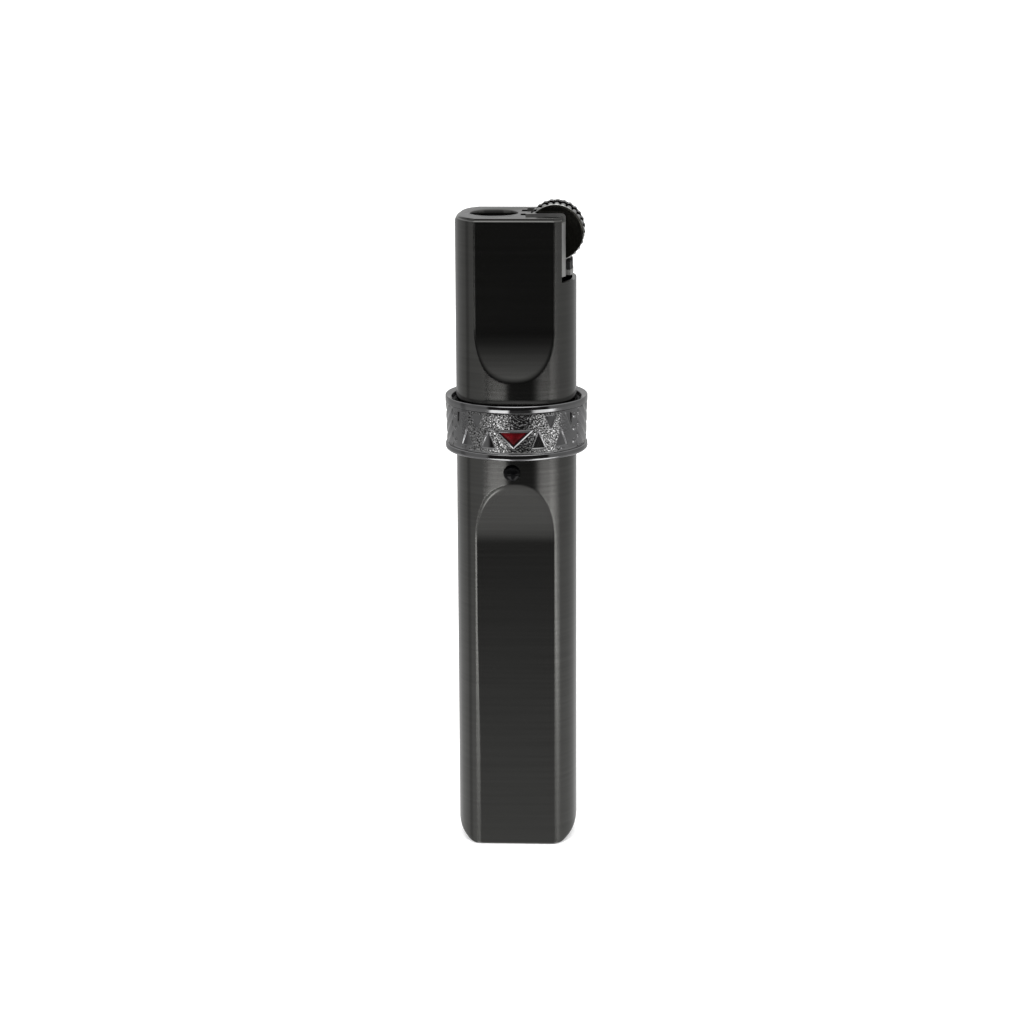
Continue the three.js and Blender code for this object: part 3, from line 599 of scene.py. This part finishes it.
def upper_case():
    """The upper half: the top plate with the jet mouth and the wheel's slots, and the notch beside it."""
    made = case_solid("upper_case_shell", SEAM_Z, TOP_Z)
    above = TOP_Z + 5
    under = TOP_Z - 2 * TOP_PLATE
    mouth = [
        (MOUTH_RADIUS, TOP_Z - 5), (MOUTH_RADIUS, TOP_Z - 0.22), (MOUTH_RADIUS + 0.06, TOP_Z - 0.08),
        (MOUTH_RADIUS + 0.2, TOP_Z), (MOUTH_RADIUS + 0.2, above),
    ]
    cutters = [
        cavity_cutter(WALL, CAVITY_HALF_DEPTH, SEAM_Z - 1, TOP_Z - TOP_PLATE),
        round_cutter(GAS_X, mouth),
    ]
    # Overlapping cutters end at different places, so that none of their faces coincide
    for step, (start, near, far) in enumerate((DISC_SLOT, CHEEK_SLOT)):
        cutters.append(box_cutter((start, PAST_CASE), (near, far), (under, above + step)))
        cutters.append(box_cutter((start, PAST_CASE), (-far, -near), (under, above + step)))
    middle = (-MIDDLE_SLOT_Y, MIDDLE_SLOT_Y)
    cutters.append(box_cutter((MIDDLE_SLOT_X, PAST_CASE + 1), middle, (under - 1, above + 2)))
    cutters.append(box_cutter((NOTCH_X, PAST_CASE + 2), (-PAST_CASE, PAST_CASE), (NOTCH_Z, above + 3)))
    cut(made, cutters)
    smooth(made.data, 30)
    return made


def lower_case():
    """The lower half: the base with its three holes, and the stud's hole below the ring."""
    made = case_solid("lower_case_shell", 0.0, SEAM_Z)
    through_floor = CAVITY_FLOOR_Z + 1
    stud_hole = [(STUD_RADIUS + 0.04, -PAST_CASE), (STUD_RADIUS + 0.04, -1)]

    def middle_x(node):
        """The middle of a CAD node in x."""
        low, high = mm_box(node)
        return (low.x + high.x) / 2

    def floor_hole(x, radius):
        """A hole through the base, with a chamfered rim."""
        rim = radius + 0.2
        return round_cutter(x, [(rim, -1), (rim, 0.0), (radius, 0.2), (radius, through_floor)])

    cutters = [
        cavity_cutter(WALL, CAVITY_HALF_DEPTH, CAVITY_FLOOR_Z, SEAM_Z + 1),
        cavity_cutter(BASE_EDGE, CAVITY_HALF_DEPTH - 1, BASE_FLOOR_Z, through_floor),
        floor_hole(GAS_X, ADJUSTER_HOLE_RADIUS),
        floor_hole(middle_x("refill_body"), REFILL_HOLE_RADIUS),
        floor_hole(middle_x("flint_screw"), SCREW_HOLE_RADIUS),
        round_cutter(STUD_X, stud_hole, axis="Y", centre_z=STUD_Z),
    ]
    cut(made, cutters)
    smooth(made.data, 30)
    return made


# ---- Flint wheel ----

def wheel_disc(name, y_outer, y_inner):
    """A disc with a flat dark face, a bright bevelled rim and rounded teeth behind the bevel."""
    side = math.copysign(1.0, y_outer)
    thickness = abs(y_outer - y_inner)
    steps_per_tooth = 20
    columns = WHEEL_TEETH * steps_per_tooth
    face_radius = WHEEL_RADIUS - 0.22
    bore = 0.64
    tooth_depth = 0.36
    # Radius, distance in from the outer face, share of the tooth's depth
    section = [
        (bore, 0.06, 0), (face_radius - 0.3, 0.06, 0), (face_radius - 0.1, 0.05, 0),
        (face_radius, 0.0, 0), (WHEEL_RADIUS - 0.15, 0.04, 0.0), (WHEEL_RADIUS - 0.08, 0.11, 0.4),
        (WHEEL_RADIUS - 0.01, 0.22, 0.9), (WHEEL_RADIUS, 0.3, 1), (WHEEL_RADIUS, thickness - 0.04, 1),
        (WHEEL_RADIUS - 0.04, thickness, 1), (face_radius, thickness, 0), (bore, thickness, 0),
    ]
    vertices = []
    for radius, inward, share in section:
        for j in range(columns):
            angle = 2 * math.pi * j / columns
            valley = 1 - abs(math.sin(math.pi * j / steps_per_tooth)) ** 0.75
            r = radius - tooth_depth * share * valley
            y = y_outer - side * inward
            vertices.append((WHEEL_X + r * math.cos(angle), y, WHEEL_Z + r * math.sin(angle)))
    faces = grid_faces(len(section), columns, closed_rows=True)
    made = make_object(name, vertices, faces, WHEEL_STEEL, smooth_angle=35)
    made.data.materials.append(WHEEL_FACE)
    for polygon in made.data.polygons:
        middle = polygon.center / MM
        if math.hypot(middle.x - WHEEL_X, middle.z - WHEEL_Z) < face_radius - 0.02:
            polygon.material_index = 1
    return made


def striker():
    """The steel wheel between the discs, cut with fine slanted teeth."""
    low, high = mm_box("striker_wheel")
    teeth, steps_per_tooth, rows = 34, 8, 13
    radius, tooth_depth, bore = (high.z - low.z) / 2, 0.24, 0.65
    groove_depth, groove_pitch, groove_middle, groove_half_width = 0.14, 0.65, 0.33, 0.06
    teeth_per_mm = 0.9
    columns = teeth * steps_per_tooth

    def turned_point(r, j, y):
        """Point j of a circle round the wheel's axis."""
        angle = 2 * math.pi * j / columns
        return WHEEL_X + r * math.cos(angle), y, WHEEL_Z + r * math.sin(angle)

    vertices = [turned_point(bore, j, low.y) for j in range(columns)]
    for i in range(rows):
        across = (high.y - low.y) * i / (rows - 1)
        in_groove = abs(across % groove_pitch - groove_middle) < groove_half_width
        crown = radius - (groove_depth if in_groove else 0.0)
        for j in range(columns):
            part = (j / steps_per_tooth + across * teeth_per_mm) % 1.0
            vertices.append(turned_point(crown - tooth_depth * part, j, low.y + across))
    vertices += [turned_point(bore, j, high.y) for j in range(columns)]
    faces = grid_faces(rows + 2, columns, closed_rows=True)
    return make_object("striker", vertices, faces, WHEEL_STEEL, smooth_angle=30)


# ---- Ring ----

FIELD_LOW = RING_LOW.z + 1.2
FIELD_HIGH = RING_HIGH.z - 1.2
# The triangles repeat by a turn, out to the bands of beads beside the chevrons
CELL = 2 * math.pi / 17
FRONT = -math.pi / 2
BEAD_TURN = math.radians(58)
BEAD_BAND = 0.75
BEAD_RADIUS = 0.42
BEAD_HEIGHT = 0.17
CHEVRON_PITCH = 1.75
# Each triangle's half width, its height, and how far it stands in from the field's edge
LOWER_TRIANGLE = (1.2, 2.7, 0.6)
UPPER_TRIANGLE = (1.05, 2.05, 0.4)
TRIANGLE_RIM = 0.3
BEZEL_LOW, BEZEL_HIGH = mm_box("ring_bezel")
BEZEL_HALF_WIDTH = BEZEL_HIGH.x
BEZEL_HEIGHT = BEZEL_HIGH.z - BEZEL_LOW.z
BEZEL_POCKET = 0.72
BEZEL_STEPS = 14


def soft_step(value, width):
    """0 below 0 and 1 above the width, with a smooth rise between."""
    t = min(1.0, max(0.0, value / width))
    return t * t * (3 - 2 * t)


def inside_triangle(across, up, half_width, height):
    """How deep a point lies inside an upright triangle whose base is at up = 0."""
    slope = math.hypot(half_width, height)
    side = ((height - up) * half_width - abs(across) * height) / slope
    return min(side, up)


def sunk_triangle(inside, above_middle):
    """A sunk triangle, deeper towards its top, with a thin raised rim: its height over the ground,
    and 1 where the ground's grain is left out."""
    sunk = soft_step(inside, 0.03)
    rim = soft_step(inside + 0.2, 0.1) * (1 - soft_step(inside - 0.02, 0.06))
    return 0.02 * rim - (0.15 + 0.06 * above_middle) * sunk, max(sunk, rim)


def triangle_relief(turn, z):
    """The two rows of sunk triangles on the ring: large ones below, small inverted ones above."""
    cell = round(turn / CELL)
    if cell:
        half_width, height, margin = LOWER_TRIANGLE
        up = z - FIELD_LOW - margin
        inside = inside_triangle((turn - cell * CELL) * RING_RADIUS, up, half_width, height)
        if inside > -TRIANGLE_RIM:
            return sunk_triangle(inside, up - 1)
    middle = (math.floor(turn / CELL) + 0.5) * CELL
    if abs(middle) > CELL:
        half_width, height, margin = UPPER_TRIANGLE
        down = FIELD_HIGH - margin - z
        inside = inside_triangle((turn - middle) * RING_RADIUS, down, half_width, height)
        if inside > -TRIANGLE_RIM:
            return sunk_triangle(inside, 1 - down)
    return 0.0, 0.0


def hammered_grain(turn, z):
    """The pebbled ground: small rounded lumps."""
    place = Vector((turn * RING_RADIUS, z, 0.0))
    lump = min(1.0, 1.3 * noise.voronoi(place / GRAIN_SIZE)[0][0])
    return GRAIN_HEIGHT * (1 - lump * lump) + 0.006 * noise.noise(place * 4.5)


def ring_relief(turn, z):
    """Height of the ring's field over its ground. The turn is measured from the nearer face."""
    arc = (abs(turn) - BEAD_TURN) * RING_RADIUS
    if arc < -BEAD_BAND:
        relief, bare = triangle_relief(turn, z)
        fade = soft_step(-BEAD_BAND - arc, 2.4)
        return relief + (1 - bare) * fade * hammered_grain(turn, z)
    if arc < BEAD_BAND:
        middle = (FIELD_LOW + FIELD_HIGH) / 2
        distance = min(math.hypot(arc, z - middle - row * BEAD_PITCH) for row in (-1, 0, 1))
        return BEAD_HEIGHT * math.sqrt(max(0.0, 1 - (distance / BEAD_RADIUS) ** 2))
    wave = math.sin((z + arc * 0.75) * 2 * math.pi / CHEVRON_PITCH)
    return soft_step(arc - BEAD_BAND - 0.05, 0.25) * (0.03 + 0.12 * wave)


def behind_bezel(turn, z):
    """True where the ring is cut away behind the bezel."""
    across = turn * RING_RADIUS
    return inside_triangle(across, BEZEL_HIGH.z - z, BEZEL_HALF_WIDTH, BEZEL_HEIGHT) > 0.16


# The distance from the ring's upper or lower edge, and the radius lost there
UPPER_RAIL = [
    (0.0, 0.1), (0.08, 0.03), (0.1, 0.018), (0.13, 0.016), (0.49, 0.001), (0.52, 0.0), (0.54, 0.0),
    (0.56, 0.0005), (0.96, 0.011), (0.98, 0.0115), (1.01, 0.02), (1.06, 0.2), (1.12, 0.28), (1.2, 0.2),
]
LOWER_RAIL = [
    (0.0, 0.2), (0.1, 0.09), (0.22, 0.025), (0.32, 0.001), (0.35, 0.0), (0.38, 0.001), (0.84, 0.024),
    (0.88, 0.03), (0.95, 0.2), (1.0, 0.37), (1.1, 0.37), (1.2, 0.35),
]
# Heights in the field between the rails, and the radius lost there: it leans in towards its foot
FIELD_LEAN = [(FIELD_LOW, 0.35), (FIELD_HIGH, 0.2)]
FIELD_ROW = 0.066


def ring_profile(z):
    """The ring's outer radius by height without relief, and the share of relief that applies there."""
    if z > (RING_LOW.z + RING_HIGH.z) / 2:
        rail, from_edge = UPPER_RAIL, RING_HIGH.z - z
    else:
        rail, from_edge = LOWER_RAIL, z - RING_LOW.z
    lost = along(FIELD_LEAN, z) if FIELD_LOW < z < FIELD_HIGH else along(rail, from_edge)
    return RING_RADIUS - lost, soft_step(from_edge - rail[-1][0], 0.12)


def ring_rows():
    """Heights of the ring's rows: at every bend of its rails, and evenly in its field."""
    count = round((FIELD_HIGH - FIELD_LOW) / FIELD_ROW)
    rows = [RING_LOW.z + place for place, _ in LOWER_RAIL]
    rows += [FIELD_LOW + (FIELD_HIGH - FIELD_LOW) * i / count for i in range(1, count)]
    rows += [RING_HIGH.z - place for place, _ in reversed(UPPER_RAIL)]
    return rows


def outer_radius(turn, z):
    """The ring's outer radius at a turn from the front, between minus and plus half a turn."""
    base, share = ring_profile(z)
    from_face = turn if abs(turn) < math.pi / 2 else math.copysign(math.pi, turn) - turn
    if turn == from_face and behind_bezel(turn, z):
        return RING_RADIUS - BEZEL_POCKET
    if share:
        return min(RING_RADIUS, base + share * ring_relief(from_face, z))
    return base


def speckle_ground_painted_glints(ring):
    """Gives the hammered ground its own material, whose specks are painted highlights and painted dark
    reflections.
    """
    ring.data.materials.append(RING_FIELD_PAINTED_GLINTS)
    for polygon in ring.data.polygons:
        middle = polygon.center / MM
        turn = math.atan2(middle.x, abs(middle.y))
        outside = math.hypot(middle.x, middle.y) > RING_RADIUS - 0.6
        in_field = FIELD_LOW < middle.z < FIELD_HIGH and outside and abs(turn) < BEAD_TURN - 0.3
        if in_field and triangle_relief(turn, middle.z)[1] < 0.5:
            polygon.material_index = 1


def ring_band():
    """The ring: polished rails at its edges and a hammered, patterned field between."""
    columns, heights = 1080, ring_rows()
    bore = [
        (RING_BORE + 0.15, RING_HIGH.z - 0.2), (RING_BORE + 0.04, RING_HIGH.z - 0.28),
        (RING_BORE, RING_HIGH.z - 0.4), (RING_BORE, RING_LOW.z + 0.25),
        (RING_BORE + 0.06, RING_LOW.z + 0.08), (RING_BORE + 0.22, RING_LOW.z),
    ]
    turns = [(2 * math.pi * j / columns + math.pi) % (2 * math.pi) - math.pi for j in range(columns)]
    rows = [[(outer_radius(turn, z), turn, z) for turn in turns] for z in heights]
    rows += [[(radius, turn, z) for turn in turns] for radius, z in bore]
    vertices = [
        (radius * math.cos(FRONT + turn), radius * math.sin(FRONT + turn), z)
        for row in rows for radius, turn, z in row
    ]
    faces = grid_faces(len(rows), columns, closed_rows=True)
    made = make_object("ring_band_relief", vertices, faces, RING_METAL, smooth_angle=60)
    speckle_ground_painted_glints(made)
    return made


def shrunk_triangle(inset):
    """The bezel's inverted triangle drawn in by an inset: its top, half width and height."""
    side = math.hypot(BEZEL_HALF_WIDTH, BEZEL_HEIGHT)
    height = BEZEL_HEIGHT - inset - inset * side / BEZEL_HALF_WIDTH
    return BEZEL_HIGH.z - inset, BEZEL_HALF_WIDTH * height / BEZEL_HEIGHT, height


def triangle_loop(inset, depth):
    """Points round the inverted triangle, bent to the ring, at a depth below its outside."""
    top_z, half_width, height = shrunk_triangle(inset)
    corners = [(-half_width, top_z), (0.0, top_z - height), (half_width, top_z)]
    loop = []
    for (ax, az), (bx, bz) in zip(corners, corners[1:] + corners[:1]):
        for i in range(BEZEL_STEPS):
            part = i / BEZEL_STEPS
            x = ax + (bx - ax) * part
            loop.append((x, -math.sqrt((RING_RADIUS - depth) ** 2 - x * x), az + (bz - az) * part))
    return loop


def ring_bezel():
    """The raised rim round the enamel, with sloped, bright edges."""
    section = [
        (0.0, 0.62), (0.0, 0.13), (0.02, 0.08), (0.17, 0.01), (0.19, 0.003), (0.22, 0.0), (0.34, 0.0),
        (0.37, 0.01), (0.42, 0.1), (0.42, 0.62),
    ]
    vertices = [point for inset, depth in section for point in triangle_loop(inset, depth)]
    faces = grid_faces(len(section), len(vertices) // len(section), closed_rows=True)
    return make_object("ring_bezel_rim", vertices, faces, RING_METAL, smooth_angle=28)


def ring_inlay():
    """The enamel, a little sunk and domed in its middle."""
    section = [(0.43, 0.62), (0.43, 0.24), (0.5, 0.2), (0.6, 0.18), (0.72, 0.165), (0.84, 0.16)]
    vertices = [point for inset, depth in section for point in triangle_loop(inset, depth)]
    count = len(vertices) // len(section)
    faces = grid_faces(len(section), count)
    faces.append(tuple(range(count)))
    faces.append(tuple(range((len(section) - 1) * count, len(section) * count)))
    return make_object("ring_enamel", vertices, faces, ENAMEL, smooth_angle=60)


def ring_sleeve():
    """The rubber sleeve: round outside, oval inside, with softened upper and lower edges."""
    low, high = mm_box("ring_sleeve")
    angles = oval_angles(0.35)
    gap = 0.08
    outside = RING_BORE - 0.05

    def outside_point(angle, z, pull):
        """A point on the sleeve's round outside, in the direction of the case's point at an angle."""
        x, y = oval_point(angle, -gap)
        length = math.hypot(x, y)
        reach = outside - min(pull, (outside - length) * 0.4)
        return x / length * reach, y / length * reach, z

    # Heights up the outside and down the inside, and how far each row is pulled into the rubber
    up = [
        (low.z, 0.2), (low.z + 0.06, 0.06), (low.z + 0.2, 0.0),
        (high.z - 0.2, 0.0), (high.z - 0.06, 0.06), (high.z, 0.2),
    ]
    down = [(high.z, 0.12), (high.z - 0.15, 0.0), (low.z + 0.15, 0.0), (low.z, 0.12)]
    rows = [[outside_point(angle, z, pull) for angle in angles] for z, pull in up]
    rows += [[(*oval_point(angle, -gap - pull), z) for angle in angles] for z, pull in down]
    vertices = [point for row in rows for point in row]
    faces = grid_faces(len(rows), len(angles), closed_rows=True)
    return make_object("ring_sleeve_rubber", vertices, faces, RUBBER, smooth_angle=45)


def stop_stud():
    """The glossy dome with its shank and inner flange, turned about Y."""
    face, steps = -HALF_DEPTH, 14
    proud = face - STUD_LOW.y
    dome = []
    for i in range(steps + 1):
        angle = math.pi / 2 * i / steps
        dome.append((max(AXIS_RADIUS, STUD_RADIUS * math.sin(angle)), face - proud * math.cos(angle)))
    flange_radius, flange_back = 1.6, STUD_HIGH.y
    flange_front = flange_back - 0.3
    inside = [
        (STUD_RADIUS, flange_front), (flange_radius, flange_front),
        (flange_radius, flange_back), (AXIS_RADIUS, flange_back),
    ]
    return lathe("stop_stud_dome", STUD_X, dome + inside, GLOSS_BLACK, axis="Y", centre_z=STUD_Z)


# ---- Burner and base fittings ----

def windscreen():
    """The tube round the flame, with rolled lips and a spark window towards the wheel."""
    low, high = SCREEN_LOW.z, SCREEN_HIGH.z
    outer = (SCREEN_HIGH.x - SCREEN_LOW.x) / 2
    inner = outer - 0.3
    profile = [
        (inner, low), (outer, low), (outer, high - 0.12), (outer - 0.06, high),
        (inner + 0.06, high), (inner, high - 0.12),
    ]
    # The windscreen's near-black steel is painted shade inside the mouth
    made = lathe("windscreen_tube", GAS_X, profile, MOUTH_SHADE_STEEL)
    cut(made, [box_cutter((GAS_X + 1, GAS_X + outer + 1), SPARK_WINDOW_Y, SPARK_WINDOW_Z)])
    smooth(made.data, 35)
    return made


def flame_disc():
    """The pierced disc, with six countersunk holes round a middle one."""
    low, high = mm_box("flame_disc")
    outer = (high.x - low.x) / 2
    profile = [
        (AXIS_RADIUS, low.z), (outer, low.z), (outer, high.z - 0.1), (outer - 0.1, high.z),
        (AXIS_RADIUS, high.z),
    ]
    made = lathe("flame_disc_pierced", GAS_X, profile, CERAMIC)
    sink = 0.12

    def hole(x, y, radius):
        """A hole through the disc, with a chamfered rim."""
        rim = radius + sink
        profile = [(radius, low.z - 1), (radius, high.z - sink), (rim, high.z), (rim, high.z + 1)]
        tool = round_cutter(GAS_X + x, profile, columns=32)
        for vertex in tool.data.vertices:
            vertex.co.y += y * MM
        return tool

    outer_holes, circle_radius = 6, 1.6
    cutters = []
    for i in range(outer_holes):
        angle = 2 * math.pi * i / outer_holes
        cutters.append(hole(circle_radius * math.cos(angle), circle_radius * math.sin(angle), 0.45))
    cutters.append(hole(0.0, 0.0, 0.6))
    cut(made, cutters)
    smooth(made.data, 35)
    return made


# ---- CAD nodes that stay ----

SLOT_OF = {entry["node"]: entry["material_slot"] for entry in frame["record"]["subparts"]}


def finish_cad_nodes():
    """Every CAD node gets its slot's material."""
    for name, node in frame["nodes"].items():
        material = SLOT_MATERIALS[SLOT_OF[name]]
        if node.data.materials:
            node.data.materials[0] = material
        else:
            node.data.materials.append(material)
        for polygon in node.data.polygons:
            polygon.material_index = 0


def soften(name, width_mm):
    """A rounded edge on a CAD node."""
    bevel = frame["nodes"][name].modifiers.new("soft edges", "BEVEL")
    bevel.width = width_mm * MM
    bevel.segments = 3
    bevel.limit_method = "ANGLE"
    bevel.angle_limit = math.radians(35)
    bevel.harden_normals = True


def place(piece, body, slot, *nodes):
    """Puts a finished piece on its body, in place of CAD nodes. The slot is not used."""
    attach(piece, body)
    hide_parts(*nodes)


def yielding(node):
    """A copy of a spring or hose's CAD mesh, put on the casing in place of its node."""
    made = bpy.data.objects.new(node + "_yielding", frame["nodes"][node].data.copy())
    bpy.context.scene.collection.objects.link(made)
    place(made, "casing", SLOT_OF[node], node)
    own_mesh(made)


# ---- Stage ----

class SkyNodes:
    """The world's nodes, with short ways to add the ones that work out a level."""

    def __init__(self, world):
        self.nodes, self.links = world.node_tree.nodes, world.node_tree.links
        self.nodes.clear()

    def maths(self, operation, *values):
        """A Math node on numbers or outputs."""
        node = self.nodes.new("ShaderNodeMath")
        node.operation = operation
        for socket, value in zip(node.inputs, values):
            if isinstance(value, (int, float)):
                socket.default_value = value
            else:
                self.links.new(value, socket)
        return node.outputs[0]

    def by_degrees(self, angle, reach, stops):
        """A level read off at an angle, from stops given in degrees between -reach and reach."""
        node = self.nodes.new("ShaderNodeValToRGB")
        elements = node.color_ramp.elements
        while len(elements) > 1:
            elements.remove(elements[-1])
        for index, (degrees, level) in enumerate(stops):
            position = 0.5 + degrees / (2 * reach)
            element = elements[0] if index == 0 else elements.new(position)
            element.position = position
            element.color = (level, level, level, 1)
        share = self.maths("ADD", self.maths("DIVIDE", angle, 2.0 * reach), 0.5)
        self.links.new(share, node.inputs["Fac"])
        return node.outputs["Color"]

    def directions(self):
        """Degrees round from straight ahead of the torch, and degrees above the horizon."""
        split = self.nodes.new("ShaderNodeSeparateXYZ")
        self.links.new(self.nodes.new("ShaderNodeTexCoord").outputs["Generated"], split.inputs[0])
        x, y, z = split.outputs
        to_degrees = 180 / math.pi
        around = self.maths("ARCTAN2", x, self.maths("MULTIPLY", y, -1.0))
        above = self.maths("ARCSINE", z)
        return self.maths("MULTIPLY", around, to_degrees), self.maths("MULTIPLY", above, to_degrees)

    def area(self, elevation, levels, azimuth, azimuths):
        """The light of one area: its level by elevation times its level by azimuth."""
        return self.maths(
            "MULTIPLY", self.by_degrees(elevation, 90, levels), self.by_degrees(azimuth, 180, azimuths)
        )


def world_light():
    """Soft surroundings of a product tent: a dark gap in front, two bright panels in it, grey sides."""
    world = bpy.data.worlds.new("studio")
    bpy.context.scene.world = world
    world.use_nodes = True
    sky = SkyNodes(world)
    nodes, links = sky.nodes, sky.links

    azimuth, elevation = sky.directions()
    below = sky.maths("SUBTRACT", sky.maths("MULTIPLY", elevation, -1.0), PANEL_WIDENS_BELOW)
    wider = sky.maths("ADD", sky.maths("MULTIPLY", sky.maths("MAXIMUM", below, 0.0), PANEL_WIDENING), 1.0)
    panel_azimuth = sky.maths("DIVIDE", azimuth, sky.maths("MINIMUM", wider, PANEL_WIDEST))

    sides = sky.area(elevation, SIDE_LEVELS, azimuth, SIDE_AZIMUTHS)
    gap = sky.area(elevation, FRONT_LEVELS, azimuth, FRONT_AZIMUTHS)
    panels = sky.area(elevation, PANEL_LEVELS, panel_azimuth, PANEL_AZIMUTHS)
    level = sky.maths("ADD", sky.maths("ADD", sides, gap), sky.maths("MULTIPLY", panels, PANEL_STRENGTH))

    glow = nodes.new("ShaderNodeBackground")
    links.new(level, glow.inputs["Strength"])
    backdrop = nodes.new("ShaderNodeBackground")
    for background in (glow, backdrop):
        background.inputs["Color"].default_value = (1, 1, 1, 1)
    mixed = nodes.new("ShaderNodeMixShader")
    links.new(nodes.new("ShaderNodeLightPath").outputs["Is Camera Ray"], mixed.inputs["Fac"])
    links.new(glow.outputs[0], mixed.inputs[1])
    links.new(backdrop.outputs[0], mixed.inputs[2])
    links.new(mixed.outputs[0], nodes.new("ShaderNodeOutputWorld").inputs["Surface"])


# Levels by degrees above the horizon, and by degrees from straight ahead of the torch
SIDE_LEVELS = [
    (-90, 0.7), (-30, 0.72), (-17, 0.7), (-13, 0.52), (-8, 0.44), (-2, 0.46), (8, 0.5), (22, 0.75),
    (50, 1.1), (90, 1.3),
]
SIDE_AZIMUTHS = [
    (-180, 0.95), (-120, 1.1), (-102, 1.0), (-97, 0.62), (-91, 0.62), (-86, 0.95), (-47, 1.05), (-42, 0.0),
    (53, 0.0), (58, 1.05), (120, 1.0), (150, 1.0), (180, 0.95),
]
FRONT_LEVELS = [
    (-90, 0.7), (-50, 0.66), (-25, 0.66), (-20, 0.56), (-18.5, 0.42), (-16, 0.24), (-14, 0.05), (-11, 0.03),
    (-4, 0.04), (3, 0.1), (9, 0.2), (17, 0.38), (25, 0.48), (35, 0.8), (48, 3.0), (90, 3.0),
]
FRONT_AZIMUTHS = [(-180, 0.0), (-47, 0.0), (-42, 1.0), (53, 1.0), (58, 0.0), (180, 0.0)]
PANEL_LEVELS = [
    (-90, 0.2), (-60, 0.7), (-45, 0.9), (-36, 0.9), (-31, 0.03), (-16.8, 0.0), (-15.7, 1.0), (-13.8, 1.0),
    (-13.0, 0.08), (-11.5, 0.06), (-10.5, 0.03), (-8, 0.0), (90, 0.0),
]
PANEL_AZIMUTHS = [
    (-180, 0.0), (-30, 0.0), (-28, 1.0), (-8, 1.0), (-6, 0.0), (18, 0.0), (22, 0.7), (46, 1.0), (50, 0.0),
    (180, 0.0),
]
PANEL_STRENGTH = 5.0
# The panels spread wider with each degree lower than this
PANEL_WIDENS_BELOW = 12.0
PANEL_WIDENING = 0.2
PANEL_WIDEST = 1.7


def overhead_softbox():
    """A wide, weak softbox above and a little behind the torch, aimed at its middle."""
    place, target = Vector((0, 30, 420)) * MM, Vector((0, 0, 55)) * MM
    light = bpy.data.lights.new("overhead_softbox", "AREA")
    light.shape = "RECTANGLE"
    light.size, light.size_y = 300 * MM, 220 * MM
    light.energy = 0.35
    made = bpy.data.objects.new("overhead_softbox", light)
    made.location = place
    made.rotation_euler = (place - target).to_track_quat("Z", "Y").to_euler()
    bpy.context.scene.collection.objects.link(made)


def pale_floor():
    """A plain white floor that glossy surfaces don't mirror."""
    bpy.ops.mesh.primitive_plane_add(size=6, location=(0, 0, 0))
    floor = bpy.context.object
    floor.name = "floor"
    shader = Shader("pale_floor", (0.94, 0.94, 0.94), 0.0, 0.6)
    shader.bsdf.inputs["Emission Color"].default_value = (1, 1, 1, 1)
    shader.bsdf.inputs["Emission Strength"].default_value = 0.35
    floor.data.materials.append(shader.material)
    floor.visible_glossy = False


CAMERA_DISTANCE = 464.0
CAMERA_HEIGHT = 161.6
CAMERA_TURN = math.radians(2.7)
CAMERA_ROLL = 0.005
CAMERA_LENS = 109.24
TARGET_Z = 51.3
TARGET_LEFT = 0.77


def camera():
    """A long lens a little above the torch, turned slightly to its right."""
    right = Vector((math.cos(CAMERA_TURN), math.sin(CAMERA_TURN), 0))
    back = Vector((math.sin(CAMERA_TURN), -math.cos(CAMERA_TURN), 0))
    place = CAMERA_DISTANCE * back + Vector((0, 0, CAMERA_HEIGHT))
    target = Vector((0, 0, TARGET_Z)) - TARGET_LEFT * right
    data = bpy.data.cameras.new("camera")
    data.lens, data.sensor_width = CAMERA_LENS, 36
    data.clip_start, data.clip_end = 0.01, 20
    made = bpy.data.objects.new("camera", data)
    made.location = place * MM
    sight = target - place
    made.rotation_mode = "QUATERNION"
    made.rotation_quaternion = Quaternion(sight.normalized(), CAMERA_ROLL) @ sight.to_track_quat("-Z", "Y")
    bpy.context.scene.collection.objects.link(made)
    bpy.context.scene.camera = made


# ---- Assembly ----

finish_cad_nodes()
soften("wheel_frame", 0.1)
soften("gas_button", 0.06)
soften("button_pad", 0.07)
for turned_part in ("flint_screw", "flame_adjuster", "refill_body", "refill_stem"):
    soften(turned_part, 0.05)

place(upper_case(), "casing", "case_metal", "upper_case")
place(lower_case(), "casing", "case_metal", "lower_case")
REAR_LOW, REAR_HIGH = mm_box("wheel_disc_rear")
FRONT_DISC = wheel_disc("flint_disc_front", WHEEL_LOW.y, WHEEL_HIGH.y)
REAR_DISC = wheel_disc("flint_disc_rear", REAR_HIGH.y, REAR_LOW.y)
place(FRONT_DISC, "flint_wheel", "wheel_steel", "wheel_disc_front")
place(REAR_DISC, "flint_wheel", "wheel_steel", "wheel_disc_rear")
place(striker(), "flint_wheel", "wheel_steel", "striker_wheel")
place(ring_band(), "ring", "ring_metal", "ring_band")
place(ring_bezel(), "ring", "ring_metal", "ring_bezel")
place(ring_inlay(), "ring", "red_enamel", "ring_inlay")
place(ring_sleeve(), "sleeve", "rubber", "ring_sleeve")
place(stop_stud(), "stud", "gloss_black", "stop_stud")
place(windscreen(), "casing", "steel", "windscreen")
place(flame_disc(), "casing", "ceramic", "flame_disc")

yielding("valve_spring")
yielding("gas_hose")
yielding("refill_spring")

world_light()
overhead_softbox()
pale_floor()
camera()
bpy.context.scene.view_settings.view_transform = "Standard"

bpy.context.view_layer.update()
